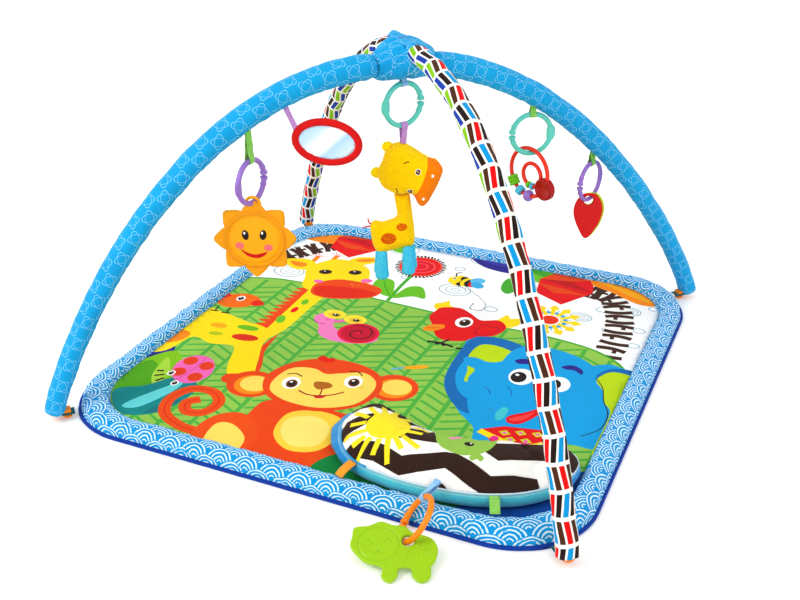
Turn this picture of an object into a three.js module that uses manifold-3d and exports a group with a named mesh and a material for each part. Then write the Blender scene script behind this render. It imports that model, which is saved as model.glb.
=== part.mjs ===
// Activity play gym: a square padded play mat, two crossing sleeved arches that pivot on a centre hub,
// five hanging toys, and a loose bean-shaped tummy pillow with a clip-on teether.
// Millimetres, +Z up. The origin is the centre of the mat's underside. The front edge faces -Y.
import * as THREE from "three";
import { mergeVertices } from "three/addons/utils/BufferGeometryUtils.js";
import Module from "manifold-3d";

const wasm = await Module();
wasm.setup();

// ---- driving dimensions -------------------------------------------------------------------------
const GAP = 0.3; // clearance between pieces that touch
const MAT = { half: 450, corner: 115, panelCorner: 118, backing: 2.5, wadding: 8, panel: 1.5 };
const BORDER = { width: 43, height: 28, crownShare: 0.6 };
const PIPING = { width: 5, height: 6 };
const ARCH = { halfSpan: 618, footZ: 12, power: 2.13, root: 1.15, poleRadius: 6, steps: 15 };
const BLUE = { height: 538, lean: 0.05, sleeveRadius: 21, turn: 45 };
const STRIPED = { height: 565, lean: -0.09, sleeveRadius: 16.5, turn: -45 };
const SLEEVE = { bore: 11.5, innerEnd: 52, outerEnd: 0.9925 };
const HUB = { halfLength: 38, width: 26, bottom: 524, split: 549.6, top: 575, pinRadius: 4 };
const COVER = { radius: 46, bottom: 512, top: 586, wall: 2, armHole: 12 };
const KNOB = { reach: 598, radius: 8, height: 8.4, neck: 3.5 };
const TAB = { from: 589.6, to: 610, width: 22, bottom: 8.9, top: 10.5 };
const RING = { radius: 35.4, wire: 3.6, play: 3.2 };
const RIBBON = { width: 12, inside: 4.8, outside: 6 };
const FACING = -23.9; // the toys' flat faces are turned this many degrees about Z, towards the front right

// ---- helpers ------------------------------------------------------------------------------------
const gym = new THREE.Group();
const radians = THREE.MathUtils.degToRad;

const finish = (hex, roughness = 0.9, metalness = 0) =>
  new THREE.MeshStandardMaterial({ color: hex, roughness, metalness });
const FABRIC_BLUE = finish(0x1f9fe0);
const FABRIC_NAVY = finish(0x1b3f9a);
const PRINT = finish(0x8cc850);
const BRICKS = finish(0xf2f0ea);
const PLASTIC_WHITE = finish(0xe8e8e4, 0.5);
const PLASTIC_ORANGE = finish(0xf07a1c, 0.35);
const PLASTIC_PURPLE = finish(0x9a72c2, 0.35);
const PLASTIC_TEAL = finish(0x58bfae, 0.35);
const PLASTIC_RED = finish(0xe03a20, 0.35);
const PLASTIC_GREEN = finish(0xa4cf3a, 0.4);
const PLASTIC_SKY = finish(0x62c3de, 0.35);
const SUN_YELLOW = finish(0xf9ab14, 0.4);
const PLUSH_YELLOW = finish(0xf8d21c, 1);
const PLUSH_BLUE = finish(0x2fb3d6, 1);
const FABRIC_RED = finish(0xd0202a);
const MIRROR = finish(0xdceaf4, 0.08, 1);
const WEBBING_TEAL = finish(0x127c84);
const RIBBON_GREEN = finish(0x6fbe3a);
const RIBBON_LILAC = finish(0xc08fce);
const RIBBON_SKY = finish(0x8fc4ea);
const RIBBON_ORANGE = finish(0xf2981d);
const FABRIC_ZEBRA = finish(0xf4f2ee);
const WADDING = finish(0xffffff);

function add(name, geometry, material, parent = gym) {
  const mesh = new THREE.Mesh(geometry, material);
  mesh.name = name;
  parent.add(mesh);
  return mesh;
}

// A three.js geometry as a manifold-3d solid, and the other way round.
function toSolid(geometry) {
  const plain = geometry.clone();
  plain.deleteAttribute("normal");
  plain.deleteAttribute("uv");
  const merged = mergeVertices(plain, 1e-4);
  return new wasm.Manifold(
    new wasm.Mesh({
      numProp: 3,
      vertProperties: new Float32Array(merged.attributes.position.array),
      triVerts: new Uint32Array(merged.index.array),
    }),
  );
}
function toGeometry(solid) {
  const mesh = solid.getMesh();
  return new THREE.BufferGeometry()
    .setAttribute("position", new THREE.BufferAttribute(mesh.vertProperties, 3))
    .setIndex(new THREE.BufferAttribute(mesh.triVerts, 1));
}

const box = (x0, x1, y0, y1, z0, z1) =>
  new THREE.BoxGeometry(x1 - x0, y1 - y0, z1 - z0)
    .translate((x0 + x1) / 2, (y0 + y1) / 2, (z0 + z1) / 2);
const uprightCylinder = (radius, z0, z1, sides = 16) =>
  new THREE.CylinderGeometry(radius, radius, z1 - z0, sides)
    .rotateX(Math.PI / 2)
    .translate(0, 0, (z0 + z1) / 2);
const plate = (shape, z0, z1, curveSegments = 6) =>
  new THREE.ExtrudeGeometry(shape, { depth: z1 - z0, bevelEnabled: false, curveSegments })
    .translate(0, 0, z0);

// ---- arches -------------------------------------------------------------------------------------
// Height of an arch's centreline at the distance s along its diagonal.
function archHeight(arch, s) {
  const u = s / ARCH.halfSpan;
  const leaning = Math.abs(u + arch.lean * (1 - u * u));
  const rise = Math.pow(Math.max(0, 1 - Math.pow(leaning, ARCH.power)), 1 / ARCH.root);
  return ARCH.footZ + (arch.height - ARCH.footZ) * rise;
}

// Part of an arch's centreline, in the XZ plane of a group that is turned onto the diagonal.
class ArchCurve extends THREE.Curve {
  constructor(arch, from, to) {
    super();
    Object.assign(this, { arch, from, to });
  }
  getPoint(t, target = new THREE.Vector3()) {
    const s = this.from + (this.to - this.from) * t;
    return target.set(s, 0, archHeight(this.arch, s));
  }
}

function tubeAlong(curve, radius, bore, steps, curveSegments = 5) {
  const ring = new THREE.Shape().absarc(0, 0, radius, 0, 2 * Math.PI);
  if (bore) ring.holes.push(new THREE.Path().absarc(0, 0, bore, 0, 2 * Math.PI, true));
  return new THREE.ExtrudeGeometry(ring, { steps, curveSegments, extrudePath: curve });
}

// A pole's full length, from near the pivot to its foot; extra widens it into a bore.
function poleTube(arch, side, extra = 0) {
  const curve = new ArchCurve(arch, side * 10, side * 617.4);
  return toSolid(tubeAlong(curve, ARCH.poleRadius + extra, 0, ARCH.steps + 5, 4));
}

// An orange end fitting: a socket for the pole, and an arm with a press-down knob for the mat's tab.
function footFitting(arch, side) {
  const foot = side * ARCH.halfSpan;
  const along = (from, to, radius, steps) =>
    toSolid(tubeAlong(new ArchCurve(arch, side * from, side * to), radius, 0, steps));
  const [inner, outer] = [KNOB.reach - 6, ARCH.halfSpan + 6].map((x) => side * x);
  const arm = box(Math.min(inner, outer), Math.max(inner, outer), -7, 7, 11, 16.5);
  const neck = uprightCylinder(KNOB.neck, KNOB.height - 2, 12, 10)
    .translate(side * KNOB.reach, 0, 0);
  const head = new THREE.SphereGeometry(1, 12, 8)
    .scale(KNOB.radius, KNOB.radius, KNOB.height / 2)
    .translate(side * KNOB.reach, 0, KNOB.height / 2);
  const belowTab = toSolid(box(foot - 60, foot + 60, -30, 30, -20, TAB.top + GAP));
  const socket = along(600, 617.8, ARCH.poleRadius + 4, 4).subtract(belowTab);
  const base = toSolid(uprightCylinder(9.5, TAB.top + GAP, 14, 12).translate(foot - side * 1, 0, 0));
  const floor = toSolid(box(foot - 40, foot + 40, -30, 30, -20, 12.5));
  const bore = poleTube(arch, side, GAP).subtract(floor);
  return toGeometry(
    socket.add(base).add(toSolid(arm)).subtract(bore)
      .add(toSolid(neck)).add(toSolid(head)),
  );
}

function pole(arch, side) {
  const belowSocket = toSolid(box(-700, 700, -30, 30, -20, 12.8));
  return toGeometry(poleTube(arch, side).subtract(belowSocket));
}

// Half of the hub: a block with a socket for each pole and a bore for the pivot pin.
function hubBlock(arch, bottom, top) {
  const { halfLength, width, pinRadius } = HUB;
  const block = toSolid(box(-halfLength, halfLength, -width / 2, width / 2, bottom, top));
  const bore = toSolid(uprightCylinder(pinRadius + GAP, bottom - 5, top + 5));
  const socket = (side) => poleTube(arch, side, GAP).translate([-side * GAP, 0, 0]);
  return toGeometry(
    block.subtract(bore)
      .subtract(poleTube(arch, 1, GAP)).subtract(socket(1))
      .subtract(poleTube(arch, -1, GAP)).subtract(socket(-1)),
  );
}

function hubPin() {
  const shank = toSolid(uprightCylinder(HUB.pinRadius, HUB.bottom - 2, HUB.top + 2));
  const bottomHead = toSolid(uprightCylinder(8, HUB.bottom - 5, HUB.bottom - GAP));
  const topHead = toSolid(uprightCylinder(8, HUB.top + GAP, HUB.top + 4));
  return toGeometry(shank.add(bottomHead).add(topHead));
}

// The fabric wrap over the hub: a rounded puck, hollow, with a hole for each of the four poles.
function hubCover() {
  const puck = (radius, z0, z1) => {
    const ease = 10;
    const profile = [[0, z0], [radius - ease, z0], [radius, z0 + ease], [radius, z1 - ease],
      [radius - ease, z1], [0, z1]];
    const points = profile.map(([r, z]) => new THREE.Vector2(r, z));
    return toSolid(new THREE.LatheGeometry(points, 20).rotateX(Math.PI / 2));
  };
  const { radius, bottom, top, wall, armHole } = COVER;
  const armBore = (arch, side) => {
    const curve = new ArchCurve(arch, side * (radius - 12), side * (radius + 15));
    return toSolid(tubeAlong(curve, armHole, 0, 2).rotateZ(radians(arch.turn)));
  };
  const hollow = puck(radius, bottom, top).subtract(puck(radius - wall, bottom + wall, top - wall));
  return toGeometry(
    hollow
      .subtract(armBore(BLUE, 1)).subtract(armBore(BLUE, -1))
      .subtract(armBore(STRIPED, 1)).subtract(armBore(STRIPED, -1)),
  );
}

function addArch(name, arch, ends, sleeveMaterial) {
  const group = new THREE.Group();
  group.rotation.z = radians(arch.turn);
  gym.add(group);
  for (const [end, side] of Object.entries(ends)) {
    const { innerEnd, outerEnd, bore } = SLEEVE;
    const curve = new ArchCurve(arch, side * innerEnd, side * outerEnd * ARCH.halfSpan);
    const sleeve = tubeAlong(curve, arch.sleeveRadius, bore, ARCH.steps);
    add(`sleeve_${name}_${end}`, sleeve, sleeveMaterial, group);
    add(`pole_${name}_${end}`, pole(arch, side), PLASTIC_WHITE, group);
    add(`foot_${name}_${end}`, footFitting(arch, side), PLASTIC_ORANGE, group);
  }
  return group;
}

const blueArch = addArch("blue", BLUE, { left: -1, right: 1 }, FABRIC_BLUE);
const stripedArch = addArch("striped", STRIPED, { front: 1, back: -1 }, BRICKS);
add("hub_lower", hubBlock(BLUE, HUB.bottom, HUB.split - GAP), PLASTIC_WHITE, blueArch);
add("hub_upper", hubBlock(STRIPED, HUB.split + GAP, HUB.top), PLASTIC_WHITE, stripedArch);
add("hub_pin", hubPin(), PLASTIC_WHITE);
add("hub_cover", hubCover(), FABRIC_BLUE);

// ---- play mat -----------------------------------------------------------------------------------
// A rounded square, inset from the mat's edge; its corners ease from the mat's to the panel's.
function matOutline(inset) {
  const half = MAT.half - inset;
  const corner = MAT.corner - inset + ((MAT.panelCorner + BORDER.width - MAT.corner) * inset) / BORDER.width;
  const cornerSteps = 7;
  const points = [];
  for (let quarter = 0; quarter < 4; quarter++) {
    for (let i = 0; i <= cornerSteps; i++) {
      const angle = (quarter + i / cornerSteps) * (Math.PI / 2);
      const middle = (quarter + 0.5) * (Math.PI / 2);
      points.push(new THREE.Vector2(
        Math.sign(Math.cos(middle)) * (half - corner) + corner * Math.cos(angle),
        Math.sign(Math.sin(middle)) * (half - corner) + corner * Math.sin(angle),
      ));
    }
  }
  return points;
}

// A closed band round the mat: each profile point is [inset from the mat's edge, height].
function bandRoundMat(profile) {
  const positions = [];
  const loops = profile.map(([inset, z]) => matOutline(inset).map((p) => [p.x, p.y, z]));
  loops.forEach((loop, i) => {
    const next = loops[(i + 1) % loops.length];
    loop.forEach((corner, k) => {
      const m = (k + 1) % loop.length;
      positions.push(...corner, ...next[m], ...next[k], ...corner, ...loop[m], ...next[m]);
    });
  });
  return new THREE.BufferGeometry()
    .setAttribute("position", new THREE.Float32BufferAttribute(positions, 3));
}

function addMat() {
  const { backing, wadding, panel } = MAT;
  const waddingTop = backing + GAP + wadding;
  const outline = new THREE.Shape(matOutline(PIPING.width + GAP));
  add("mat_backing", plate(outline, 0, backing), FABRIC_NAVY);
  const padOutline = new THREE.Shape(matOutline(BORDER.width + GAP));
  add("mat_wadding", plate(padOutline, backing + GAP, waddingTop), WADDING);
  add("mat_print_panel", plate(padOutline, waddingTop + GAP, waddingTop + GAP + panel), PRINT);

  const profile = [];
  const arcPoints = 7;
  const [low, mid] = [backing + GAP, BORDER.height * (1 - BORDER.crownShare)];
  const [outerInset, innerInset] = [PIPING.width + GAP, BORDER.width];
  const halfWidth = (innerInset - outerInset) / 2;
  profile.push([outerInset, low]);
  for (let i = 0; i < arcPoints; i++) {
    const angle = (Math.PI * i) / (arcPoints - 1);
    profile.push([
      outerInset + halfWidth * (1 - Math.cos(angle)),
      mid + (BORDER.height - mid) * Math.sin(angle),
    ]);
  }
  profile.push([innerInset, low]);
  add("mat_border", bandRoundMat(profile), FABRIC_BLUE);

  const { width, height } = PIPING;
  const pipe = [[0, 1], [0, height - 1.5], [1.5, height], [width, height], [width, 0], [1, 0]];
  add("mat_piping", bandRoundMat(pipe), FABRIC_NAVY);

  const corners = { right: 45, back: 135, left: 225, front: 315 };
  for (const [name, angle] of Object.entries(corners)) {
    const tab = toSolid(box(TAB.from, TAB.to, -TAB.width / 2, TAB.width / 2, TAB.bottom, TAB.top));
    const hole = toSolid(
      uprightCylinder(KNOB.neck + 0.7, 0, 20, 12).translate(KNOB.reach, 0, 0));
    add(`corner_tab_${name}`, toGeometry(tab.subtract(hole)), WEBBING_TEAL)
      .rotation.z = radians(angle);
  }
}
addMat();

// ---- hanging toys -------------------------------------------------------------------------------
// A snap-together link ring in the XZ plane: a thick grip on one side, two snap knuckles opposite.
function linkRing() {
  const geometry = new THREE.TorusGeometry(RING.radius, RING.wire, 8, 26);
  const position = geometry.attributes.position;
  const bulge = (angle, at, width, size) => size * Math.exp(-(((angle - at) / width) ** 2));
  const onRing = new THREE.Vector3();
  const point = new THREE.Vector3();
  for (let i = 0; i < position.count; i++) {
    point.fromBufferAttribute(position, i);
    const angle = Math.atan2(point.y, point.x);
    onRing.set(Math.cos(angle), Math.sin(angle), 0).multiplyScalar(RING.radius);
    const grip = bulge(Math.abs(angle), 0, 0.22, 0.6);
    const knuckles = bulge(Math.abs(angle), Math.PI - 0.13, 0.1, 0.35);
    point.sub(onRing).multiplyScalar(1 + grip + knuckles).add(onRing);
    position.setXYZ(i, point.x, point.y, point.z);
  }
  return geometry.rotateX(Math.PI / 2);
}

// A flat ribbon sewn into a long loop, in the YZ plane, with the ring's wire at z = 0.
function ribbonLoop(rise, width = RIBBON.width) {
  const stadium = (half, shape) =>
    shape.absarc(0, 0, half, Math.PI, 2 * Math.PI)
      .lineTo(half, rise - (RIBBON.outside - half))
      .lineTo(-half, rise - (RIBBON.outside - half));
  const outline = stadium(RIBBON.outside, new THREE.Shape());
  outline.holes.push(stadium(RIBBON.inside, new THREE.Path()));
  return plate(outline, -width / 2, width / 2)
    .rotateX(Math.PI / 2)
    .rotateZ(Math.PI / 2);
}

// A group at a point of the blue arch's centreline, turned to face the front right.
function hangingPoint(s) {
  const group = new THREE.Group();
  const along = s / Math.SQRT2;
  group.position.set(along, along, archHeight(BLUE, s));
  group.rotation.z = radians(-FACING);
  gym.add(group);
  return group;
}

// Ribbon and link ring: turn is the ring's own turn about Z, and ringTop the height of its upper wire.
function addRibbonAndRing(parent, name, across, ringTop, turn, ribbonRise, ribbonColour, ringColour) {
  const ribbon = add(`ribbon_${name}`, ribbonLoop(ribbonRise), ribbonColour, parent);
  ribbon.position.set(across, 0, ringTop);
  ribbon.rotation.z = radians(turn);
  const ring = add(`link_ring_${name}`, linkRing(), ringColour, parent);
  ring.position.set(across, 0, ringTop - RING.radius);
  ring.rotation.z = radians(turn);
  return ringTop - 2 * RING.radius;
}

// Laid out in the XY plane, front towards +Z, then stood up to face -Y.
const standUp = (geometry) => geometry.rotateX(Math.PI / 2);

function starShape(points, tip, valley) {
  const shape = new THREE.Shape();
  for (let i = 0; i < points; i++) {
    const angle = (2 * Math.PI * i) / points + Math.PI / 2;
    const step = Math.PI / points;
    const at = (r, a) => [r * Math.cos(a), r * Math.sin(a)];
    if (i === 0) shape.moveTo(...at(valley, angle - step));
    shape.quadraticCurveTo(...at(tip * 0.93, angle - step * 0.62), ...at(tip, angle));
    shape.quadraticCurveTo(...at(tip * 0.93, angle + step * 0.62), ...at(valley, angle + step));
  }
  return shape;
}

function addSun() {
  const sun = { centre: 58, tip: 68, valley: 52, face: 45, shell: 6, hook: 14, eye: 9, eyeAt: 62 };
  const parent = hangingPoint(-278);
  const hookWire = addRibbonAndRing(parent, "sun", 16, -61.6, 62, 41, RIBBON_GREEN, PLASTIC_PURPLE);
  const group = new THREE.Group();
  group.position.set(16, 0, hookWire + RING.wire + RING.play - sun.eye - sun.eyeAt);
  parent.add(group);
  const star = starShape(8, sun.tip, sun.valley);
  const hook = toSolid(uprightCylinder(sun.hook, GAP, sun.shell).translate(0, sun.eyeAt, 0));
  const eye = toSolid(uprightCylinder(sun.eye, -20, 20).translate(0, sun.eyeAt, 0));
  const notch = toSolid(uprightCylinder(sun.hook + 1, -20, 0).translate(0, sun.eyeAt, 0));
  const front = toSolid(plate(star, GAP, sun.shell, 3)).add(hook).subtract(eye);
  const back = toSolid(plate(star, -sun.shell, 0, 3)).subtract(notch);
  add("sun_front_shell", standUp(toGeometry(front)), SUN_YELLOW, group);
  add("sun_back_shell", standUp(toGeometry(back)), SUN_YELLOW, group);
  const faceTop = sun.shell + 3;
  const face = uprightCylinder(sun.face, sun.shell + GAP, faceTop, 32);
  add("sun_face", standUp(face), SUN_YELLOW, group);
}

function addMirror() {
  const mirror = { halfWidth: 57, halfHeight: 39, frame: 9, tilt: -10, thick: 8 };
  const strap = { width: 10, thick: 1.6, length: 36, lean: 33, end: [-53, 9] };
  const group = new THREE.Group();
  group.position.set(78, 0, -72);
  group.rotation.y = -radians(mirror.tilt);
  hangingPoint(-214).add(group);
  const ellipse = (inset) =>
    toSolid(
      uprightCylinder(1, 0, 1, 28).scale(mirror.halfWidth - inset, mirror.halfHeight - inset, 1));
  const { frame, thick } = mirror;
  const recess = ellipse(frame).scale([1, 1, thick]).translate([0, 0, thick / 2 - 2]);
  const rim = ellipse(0).scale([1, 1, thick]).translate([0, 0, -thick / 2]).subtract(recess);
  const glass = ellipse(frame + GAP).scale([1, 1, 1.5]).translate([0, 0, thick / 2 - 2 + GAP]);
  add("mirror_frame", standUp(toGeometry(rim)), FABRIC_RED, group);
  add("mirror_disc", standUp(toGeometry(glass)), MIRROR, group);

  const band = new THREE.BoxGeometry(strap.width, strap.length, strap.thick)
    .translate(0, strap.length / 2, 0)
    .rotateZ(radians(strap.lean))
    .translate(...strap.end, 0);
  const clear = ellipse(-GAP).scale([1, 1, 20]).translate([0, 0, -10]);
  add("ribbon_mirror", standUp(toGeometry(toSolid(band).subtract(clear))), RIBBON_LILAC, group);
}

function splineShape(points) {
  const curve = new THREE.CatmullRomCurve3(
    points.map(([x, y]) => new THREE.Vector3(x, y, 0)), true);
  return new THREE.Shape(curve.getPoints(points.length * 2).slice(0, -1)
    .map((p) => new THREE.Vector2(p.x, p.y)));
}

function addGiraffe() {
  const parent = hangingPoint(0);
  const belowCover = COVER.bottom - archHeight(BLUE, 0);
  const wire = addRibbonAndRing(parent, "giraffe", 0, belowCover - 8, 35, 7.5, RIBBON_SKY, PLASTIC_TEAL);
  const group = new THREE.Group();
  group.position.set(0, 0, wire);
  parent.add(group);
  const loop = add("giraffe_loop", ribbonLoop(28), RIBBON_LILAC, group);
  loop.rotation.set(Math.PI, 0, radians(-35));
  // Outlines are measured from the middle of the ring's lower wire.
  const head = [[-12, -35], [1, -35], [18, -44], [42, -60], [57, -65], [67, -78], [68, -87],
    [57, -116], [41, -145], [28, -146], [18, -130], [8, -126], [-3, -127], [-18, -123], [-35, -112],
    [-43, -96], [-43, -82], [-35, -66], [-30, -50], [-20, -39]];
  const torso = [[-18, -131], [-3, -133], [9, -131], [13, -150], [16, -174], [18, -187], [20, -217],
    [16, -226], [1, -230], [-24, -237], [-41, -241], [-51, -233], [-56, -215], [-58, -190],
    [-49, -182], [-37, -184], [-13, -174], [-14, -150]];
  const body = (shape, depth, name, colour) =>
    add(name, standUp(plate(splineShape(shape), -depth / 2, depth / 2)), colour, group);
  body(head, 52, "giraffe_head", PLUSH_YELLOW);
  body(torso, 38, "giraffe_torso", PLUSH_YELLOW);
  const legs = { front_near: [8, 11], front_far: [12, -11], hind_near: [-38, 11], hind_far: [-41, -11] };
  for (const [name, [across, depth]] of Object.entries(legs)) {
    const top = across > 0 ? -232.5 : -242.5;
    const leg = new THREE.CylinderGeometry(8, 10.5, 52, 12).rotateX(Math.PI / 2)
      .translate(across, -depth, top - 26);
    add(`giraffe_leg_${name}`, leg, PLUSH_BLUE, group);
  }
}

// A flat wire rattle: an outer and an inner loop that end in a round clicker, with sliding beads.
function addRattle() {
  const loop = { radius: 44, wire: 3.8, inner: 21, clicker: 20, clickerAt: -28, turn: -50 };
  const parent = hangingPoint(236);
  const wire = addRibbonAndRing(parent, "rattle", 4, -38.5, 12, 7.5, RIBBON_GREEN, PLASTIC_TEAL);
  const group = new THREE.Group();
  group.position.set(4, 0, wire - loop.radius + RING.wire + loop.wire + 2 * GAP);
  group.rotation.z = radians(loop.turn);
  parent.add(group);
  const torus = (radius) => toSolid(
    new THREE.TorusGeometry(radius, loop.wire, 8, 26).rotateX(Math.PI / 2));
  const onLoop = (degrees, radius = loop.radius) =>
    [radius * Math.cos(radians(degrees)), 0, radius * Math.sin(radians(degrees))];
  const clicker = toSolid(standUp(uprightCylinder(loop.clicker, -7, 7, 20))
    .translate(...onLoop(loop.clickerAt)));
  const innerLoop = torus(loop.inner).translate([7, 0, -3]);
  add("rattle_frame", toGeometry(torus(loop.radius).add(innerLoop).add(clicker)), PLASTIC_RED, group);

  // Each bead follows the outer loop's curve, with a curved bore round the wire.
  const bore = toSolid(
    new THREE.TorusGeometry(loop.radius, loop.wire + 0.5, 10, 40).rotateX(Math.PI / 2));
  const bead = (name, at, radius, halfLength, colour) => {
    const barrel = new THREE.CylinderGeometry(radius, radius, 2 * halfLength, 12)
      .rotateX(Math.PI / 2)
      .rotateY(-radians(at));
    const body = toSolid(barrel.translate(...onLoop(at)));
    add(name, toGeometry(body.subtract(bore)), colour, group);
  };
  bead("bead_green", 214, 10, 9, PLASTIC_GREEN);
  bead("bead_sky", 244, 9, 6, PLASTIC_SKY);
  bead("bead_purple", 272, 10.5, 7.5, PLASTIC_PURPLE);
}

function addLeafTeether() {
  const leaf = { hole: 9, thick: 3.5, holeAt: 31 };
  const parent = hangingPoint(386);
  const wire = addRibbonAndRing(parent, "leaf", -16, -30, 50, 8, RIBBON_GREEN, PLASTIC_PURPLE);
  const group = new THREE.Group();
  group.position.set(-16, 0, wire + RING.wire + RING.play - leaf.hole - leaf.holeAt);
  parent.add(group);
  const outline = [[0, 45], [14, 42], [25, 25], [27, 4], [19, -22], [0, -46], [-16, -24],
    [-26, 4], [-24, 26], [-13, 42]];
  const hole = toSolid(uprightCylinder(leaf.hole, -20, 20, 14).translate(0, leaf.holeAt, 0));
  const blade = (across, z0) => {
    const layer = plate(splineShape(outline), z0, z0 + leaf.thick).translate(across, 0, 0);
    return standUp(toGeometry(toSolid(layer).subtract(hole)));
  };
  add("leaf_red", blade(0, GAP / 2), PLASTIC_RED, group);
  add("leaf_green", blade(4, -GAP / 2 - leaf.thick), PLASTIC_GREEN, group);
}

addSun();
addMirror();
addGiraffe();
addRattle();
addLeafTeether();

// ---- tummy pillow and its teether ---------------------------------------------------------------
const PILLOW = { bottom: 12.9, side: 42, top: 70, middle: [205, -324] };

function addPillow() {
  const outline = splineShape([[14, -305], [42, -355], [88, -388], [150, -403], [215, -404],
    [290, -390], [350, -360], [390, -315], [402, -273], [388, -243], [345, -237], [280, -259],
    [210, -277], [150, -271], [100, -249], [52, -237], [20, -263]]);
  const inner = 0.86;
  const { bottom, side, top, middle } = PILLOW;
  add("pillow_body", plate(outline, bottom, side), RIBBON_SKY);
  const centre = new THREE.Vector2(...middle);
  const shrink = (share) => new THREE.Shape(
    outline.getPoints().map((p) => p.clone().lerp(centre, 1 - share)));
  const lower = toSolid(plate(shrink(0.97), side + GAP, (side + top) / 2));
  const upper = toSolid(plate(shrink(inner), (side + top) / 2 - 1, top));
  add("pillow_top", toGeometry(lower.add(upper)), FABRIC_ZEBRA);

  const tag = (name, x, y, turn, colour) => {
    const mesh = add(name, box(-8, 8, -22, 0, -1.5, 1.5), colour);
    mesh.position.set(x, y, 38);
    mesh.rotation.z = radians(turn);
  };
  tag("pillow_tag_orange", 90, -393.5, -22, RIBBON_ORANGE);
  tag("pillow_tag_green", 312, -385, 22, RIBBON_GREEN);
}

// The lion teether hangs from the pillow's loop by a link ring, and lies on the floor by the mat.
function addLion() {
  const top = new THREE.Vector3(226, -440, 50);
  const along = new THREE.Vector3(0.05, -0.91, -0.4).normalize();
  const up = along.clone().negate();
  const level = new THREE.Vector3(up.y, -up.x, 0).normalize();
  const side = level.applyAxisAngle(up, radians(-50));
  // The ring's own X is its side, and its own Z points back up to the loop.
  const turned = (zAxis) => new THREE.Matrix4().makeBasis(
    side, new THREE.Vector3().crossVectors(zAxis, side), zAxis);
  const ring = add("link_ring_lion", linkRing(), PLASTIC_ORANGE);
  ring.setRotationFromMatrix(turned(up));
  ring.position.copy(top).addScaledVector(along, RING.radius);

  const loop = add("pillow_loop", ribbonLoop(30, 10), RIBBON_SKY);
  const back = new THREE.Vector3(-0.06, 1, -0.1);
  loop.setRotationFromMatrix(turned(back.addScaledVector(side, -back.dot(side)).normalize()));
  loop.position.copy(top);

  const lion = { thick: 7, hole: 9, lean: 16 };
  const outline = [[-74, 22], [-55, 25], [-37, 32], [-20, 26], [-4, 24], [6, 14], [20, 10], [34, 3],
    [41, -12], [37, -31], [31, -40], [30, -56], [18, -64], [6, -56], [3, -43], [-12, -43],
    [-15, -56], [-25, -64], [-36, -56], [-36, -41], [-58, -33], [-70, -22], [-79, -8], [-77, 8]];
  const hole = toSolid(uprightCylinder(lion.hole, -20, 20, 14));
  const body = toSolid(plate(splineShape(outline), -lion.thick / 2, lion.thick / 2)).subtract(hole);
  const mesh = add("lion_teether", toGeometry(body), PLASTIC_GREEN);
  mesh.position.copy(top).addScaledVector(along, 2 * RING.radius);
  mesh.rotation.set(radians(lion.lean), 0, radians(-FACING), "ZXY");
}

addPillow();
addLion();

export default gym;
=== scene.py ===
"""Activity play gym: printed mat, two sleeved arches, hanging toys and mirror, pillow and teether."""

import math

import bmesh
import bpy
import numpy as np
from mathutils import Matrix, Vector, noise
from mathutils.bvhtree import BVHTree
from mathutils.geometry import delaunay_2d_cdt
from mathutils.kdtree import KDTree


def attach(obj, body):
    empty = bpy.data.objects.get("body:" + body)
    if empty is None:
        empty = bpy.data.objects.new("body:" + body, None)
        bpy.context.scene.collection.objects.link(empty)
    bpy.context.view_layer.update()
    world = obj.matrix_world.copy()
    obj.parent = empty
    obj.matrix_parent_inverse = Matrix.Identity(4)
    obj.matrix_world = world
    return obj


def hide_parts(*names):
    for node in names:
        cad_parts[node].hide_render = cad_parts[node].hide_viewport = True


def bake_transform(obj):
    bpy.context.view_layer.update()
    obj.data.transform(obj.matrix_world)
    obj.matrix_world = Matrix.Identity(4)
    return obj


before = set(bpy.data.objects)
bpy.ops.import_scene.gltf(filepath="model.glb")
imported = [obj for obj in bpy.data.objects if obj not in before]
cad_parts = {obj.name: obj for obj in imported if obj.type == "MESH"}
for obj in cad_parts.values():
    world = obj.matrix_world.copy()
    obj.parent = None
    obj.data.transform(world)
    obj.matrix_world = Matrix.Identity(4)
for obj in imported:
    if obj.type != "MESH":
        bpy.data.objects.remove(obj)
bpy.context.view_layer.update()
MM = 0.001
PI = math.pi


# ---- colours and material nodes -----------------------------------------------------------------
def lin(rgb, a=1.0):
    """Screen colour to linear light, a little deeper and richer, since dyes look paler under studio light."""
    c = [(v / 255 / 12.92 if v <= 10.3 else ((v / 255 + 0.055) / 1.055) ** 2.4) for v in rgb]
    grey = 0.2126 * c[0] + 0.7152 * c[1] + 0.0722 * c[2]
    return tuple(min(1.0, max(0.0, grey + (v - grey) * 1.10)) * 0.94 for v in c) + (a,)


class S:
    """A value in a node tree, so that patterns can be written as sums and products."""

    def __init__(self, tree, socket):
        self.tree, self.socket = tree, socket

    def math(self, kind, *others):
        node = self.tree.nodes.new("ShaderNodeMath")
        node.operation = kind
        for i, v in enumerate((self, *others)):
            if isinstance(v, S):
                self.tree.links.new(v.socket, node.inputs[i])
            else:
                node.inputs[i].default_value = v
        return S(self.tree, node.outputs[0])

    def __add__(self, o):
        return self.math("ADD", o)

    __radd__ = __add__

    def __sub__(self, o):
        return self.math("SUBTRACT", o)

    def __rsub__(self, o):
        return (self * -1.0) + o

    def __mul__(self, o):
        return self.math("MULTIPLY", o)

    __rmul__ = __mul__

    def __truediv__(self, o):
        return self.math("DIVIDE", o)

    def floor(self):
        return self.math("FLOOR")

    def fract(self):
        return self.math("FRACT")

    def abs(self):
        return self.math("ABSOLUTE")

    def lt(self, o):
        return self.math("LESS_THAN", o)

    def gt(self, o):
        return self.math("GREATER_THAN", o)

    def max(self, o):
        return self.math("MAXIMUM", o)

    def min(self, o):
        return self.math("MINIMUM", o)

    def mod(self, o):
        return self.math("FLOORED_MODULO", o)

    def sqrt(self):
        return self.math("SQRT")

    def hypot(self, o):
        return (self * self + o * o).sqrt()


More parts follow.
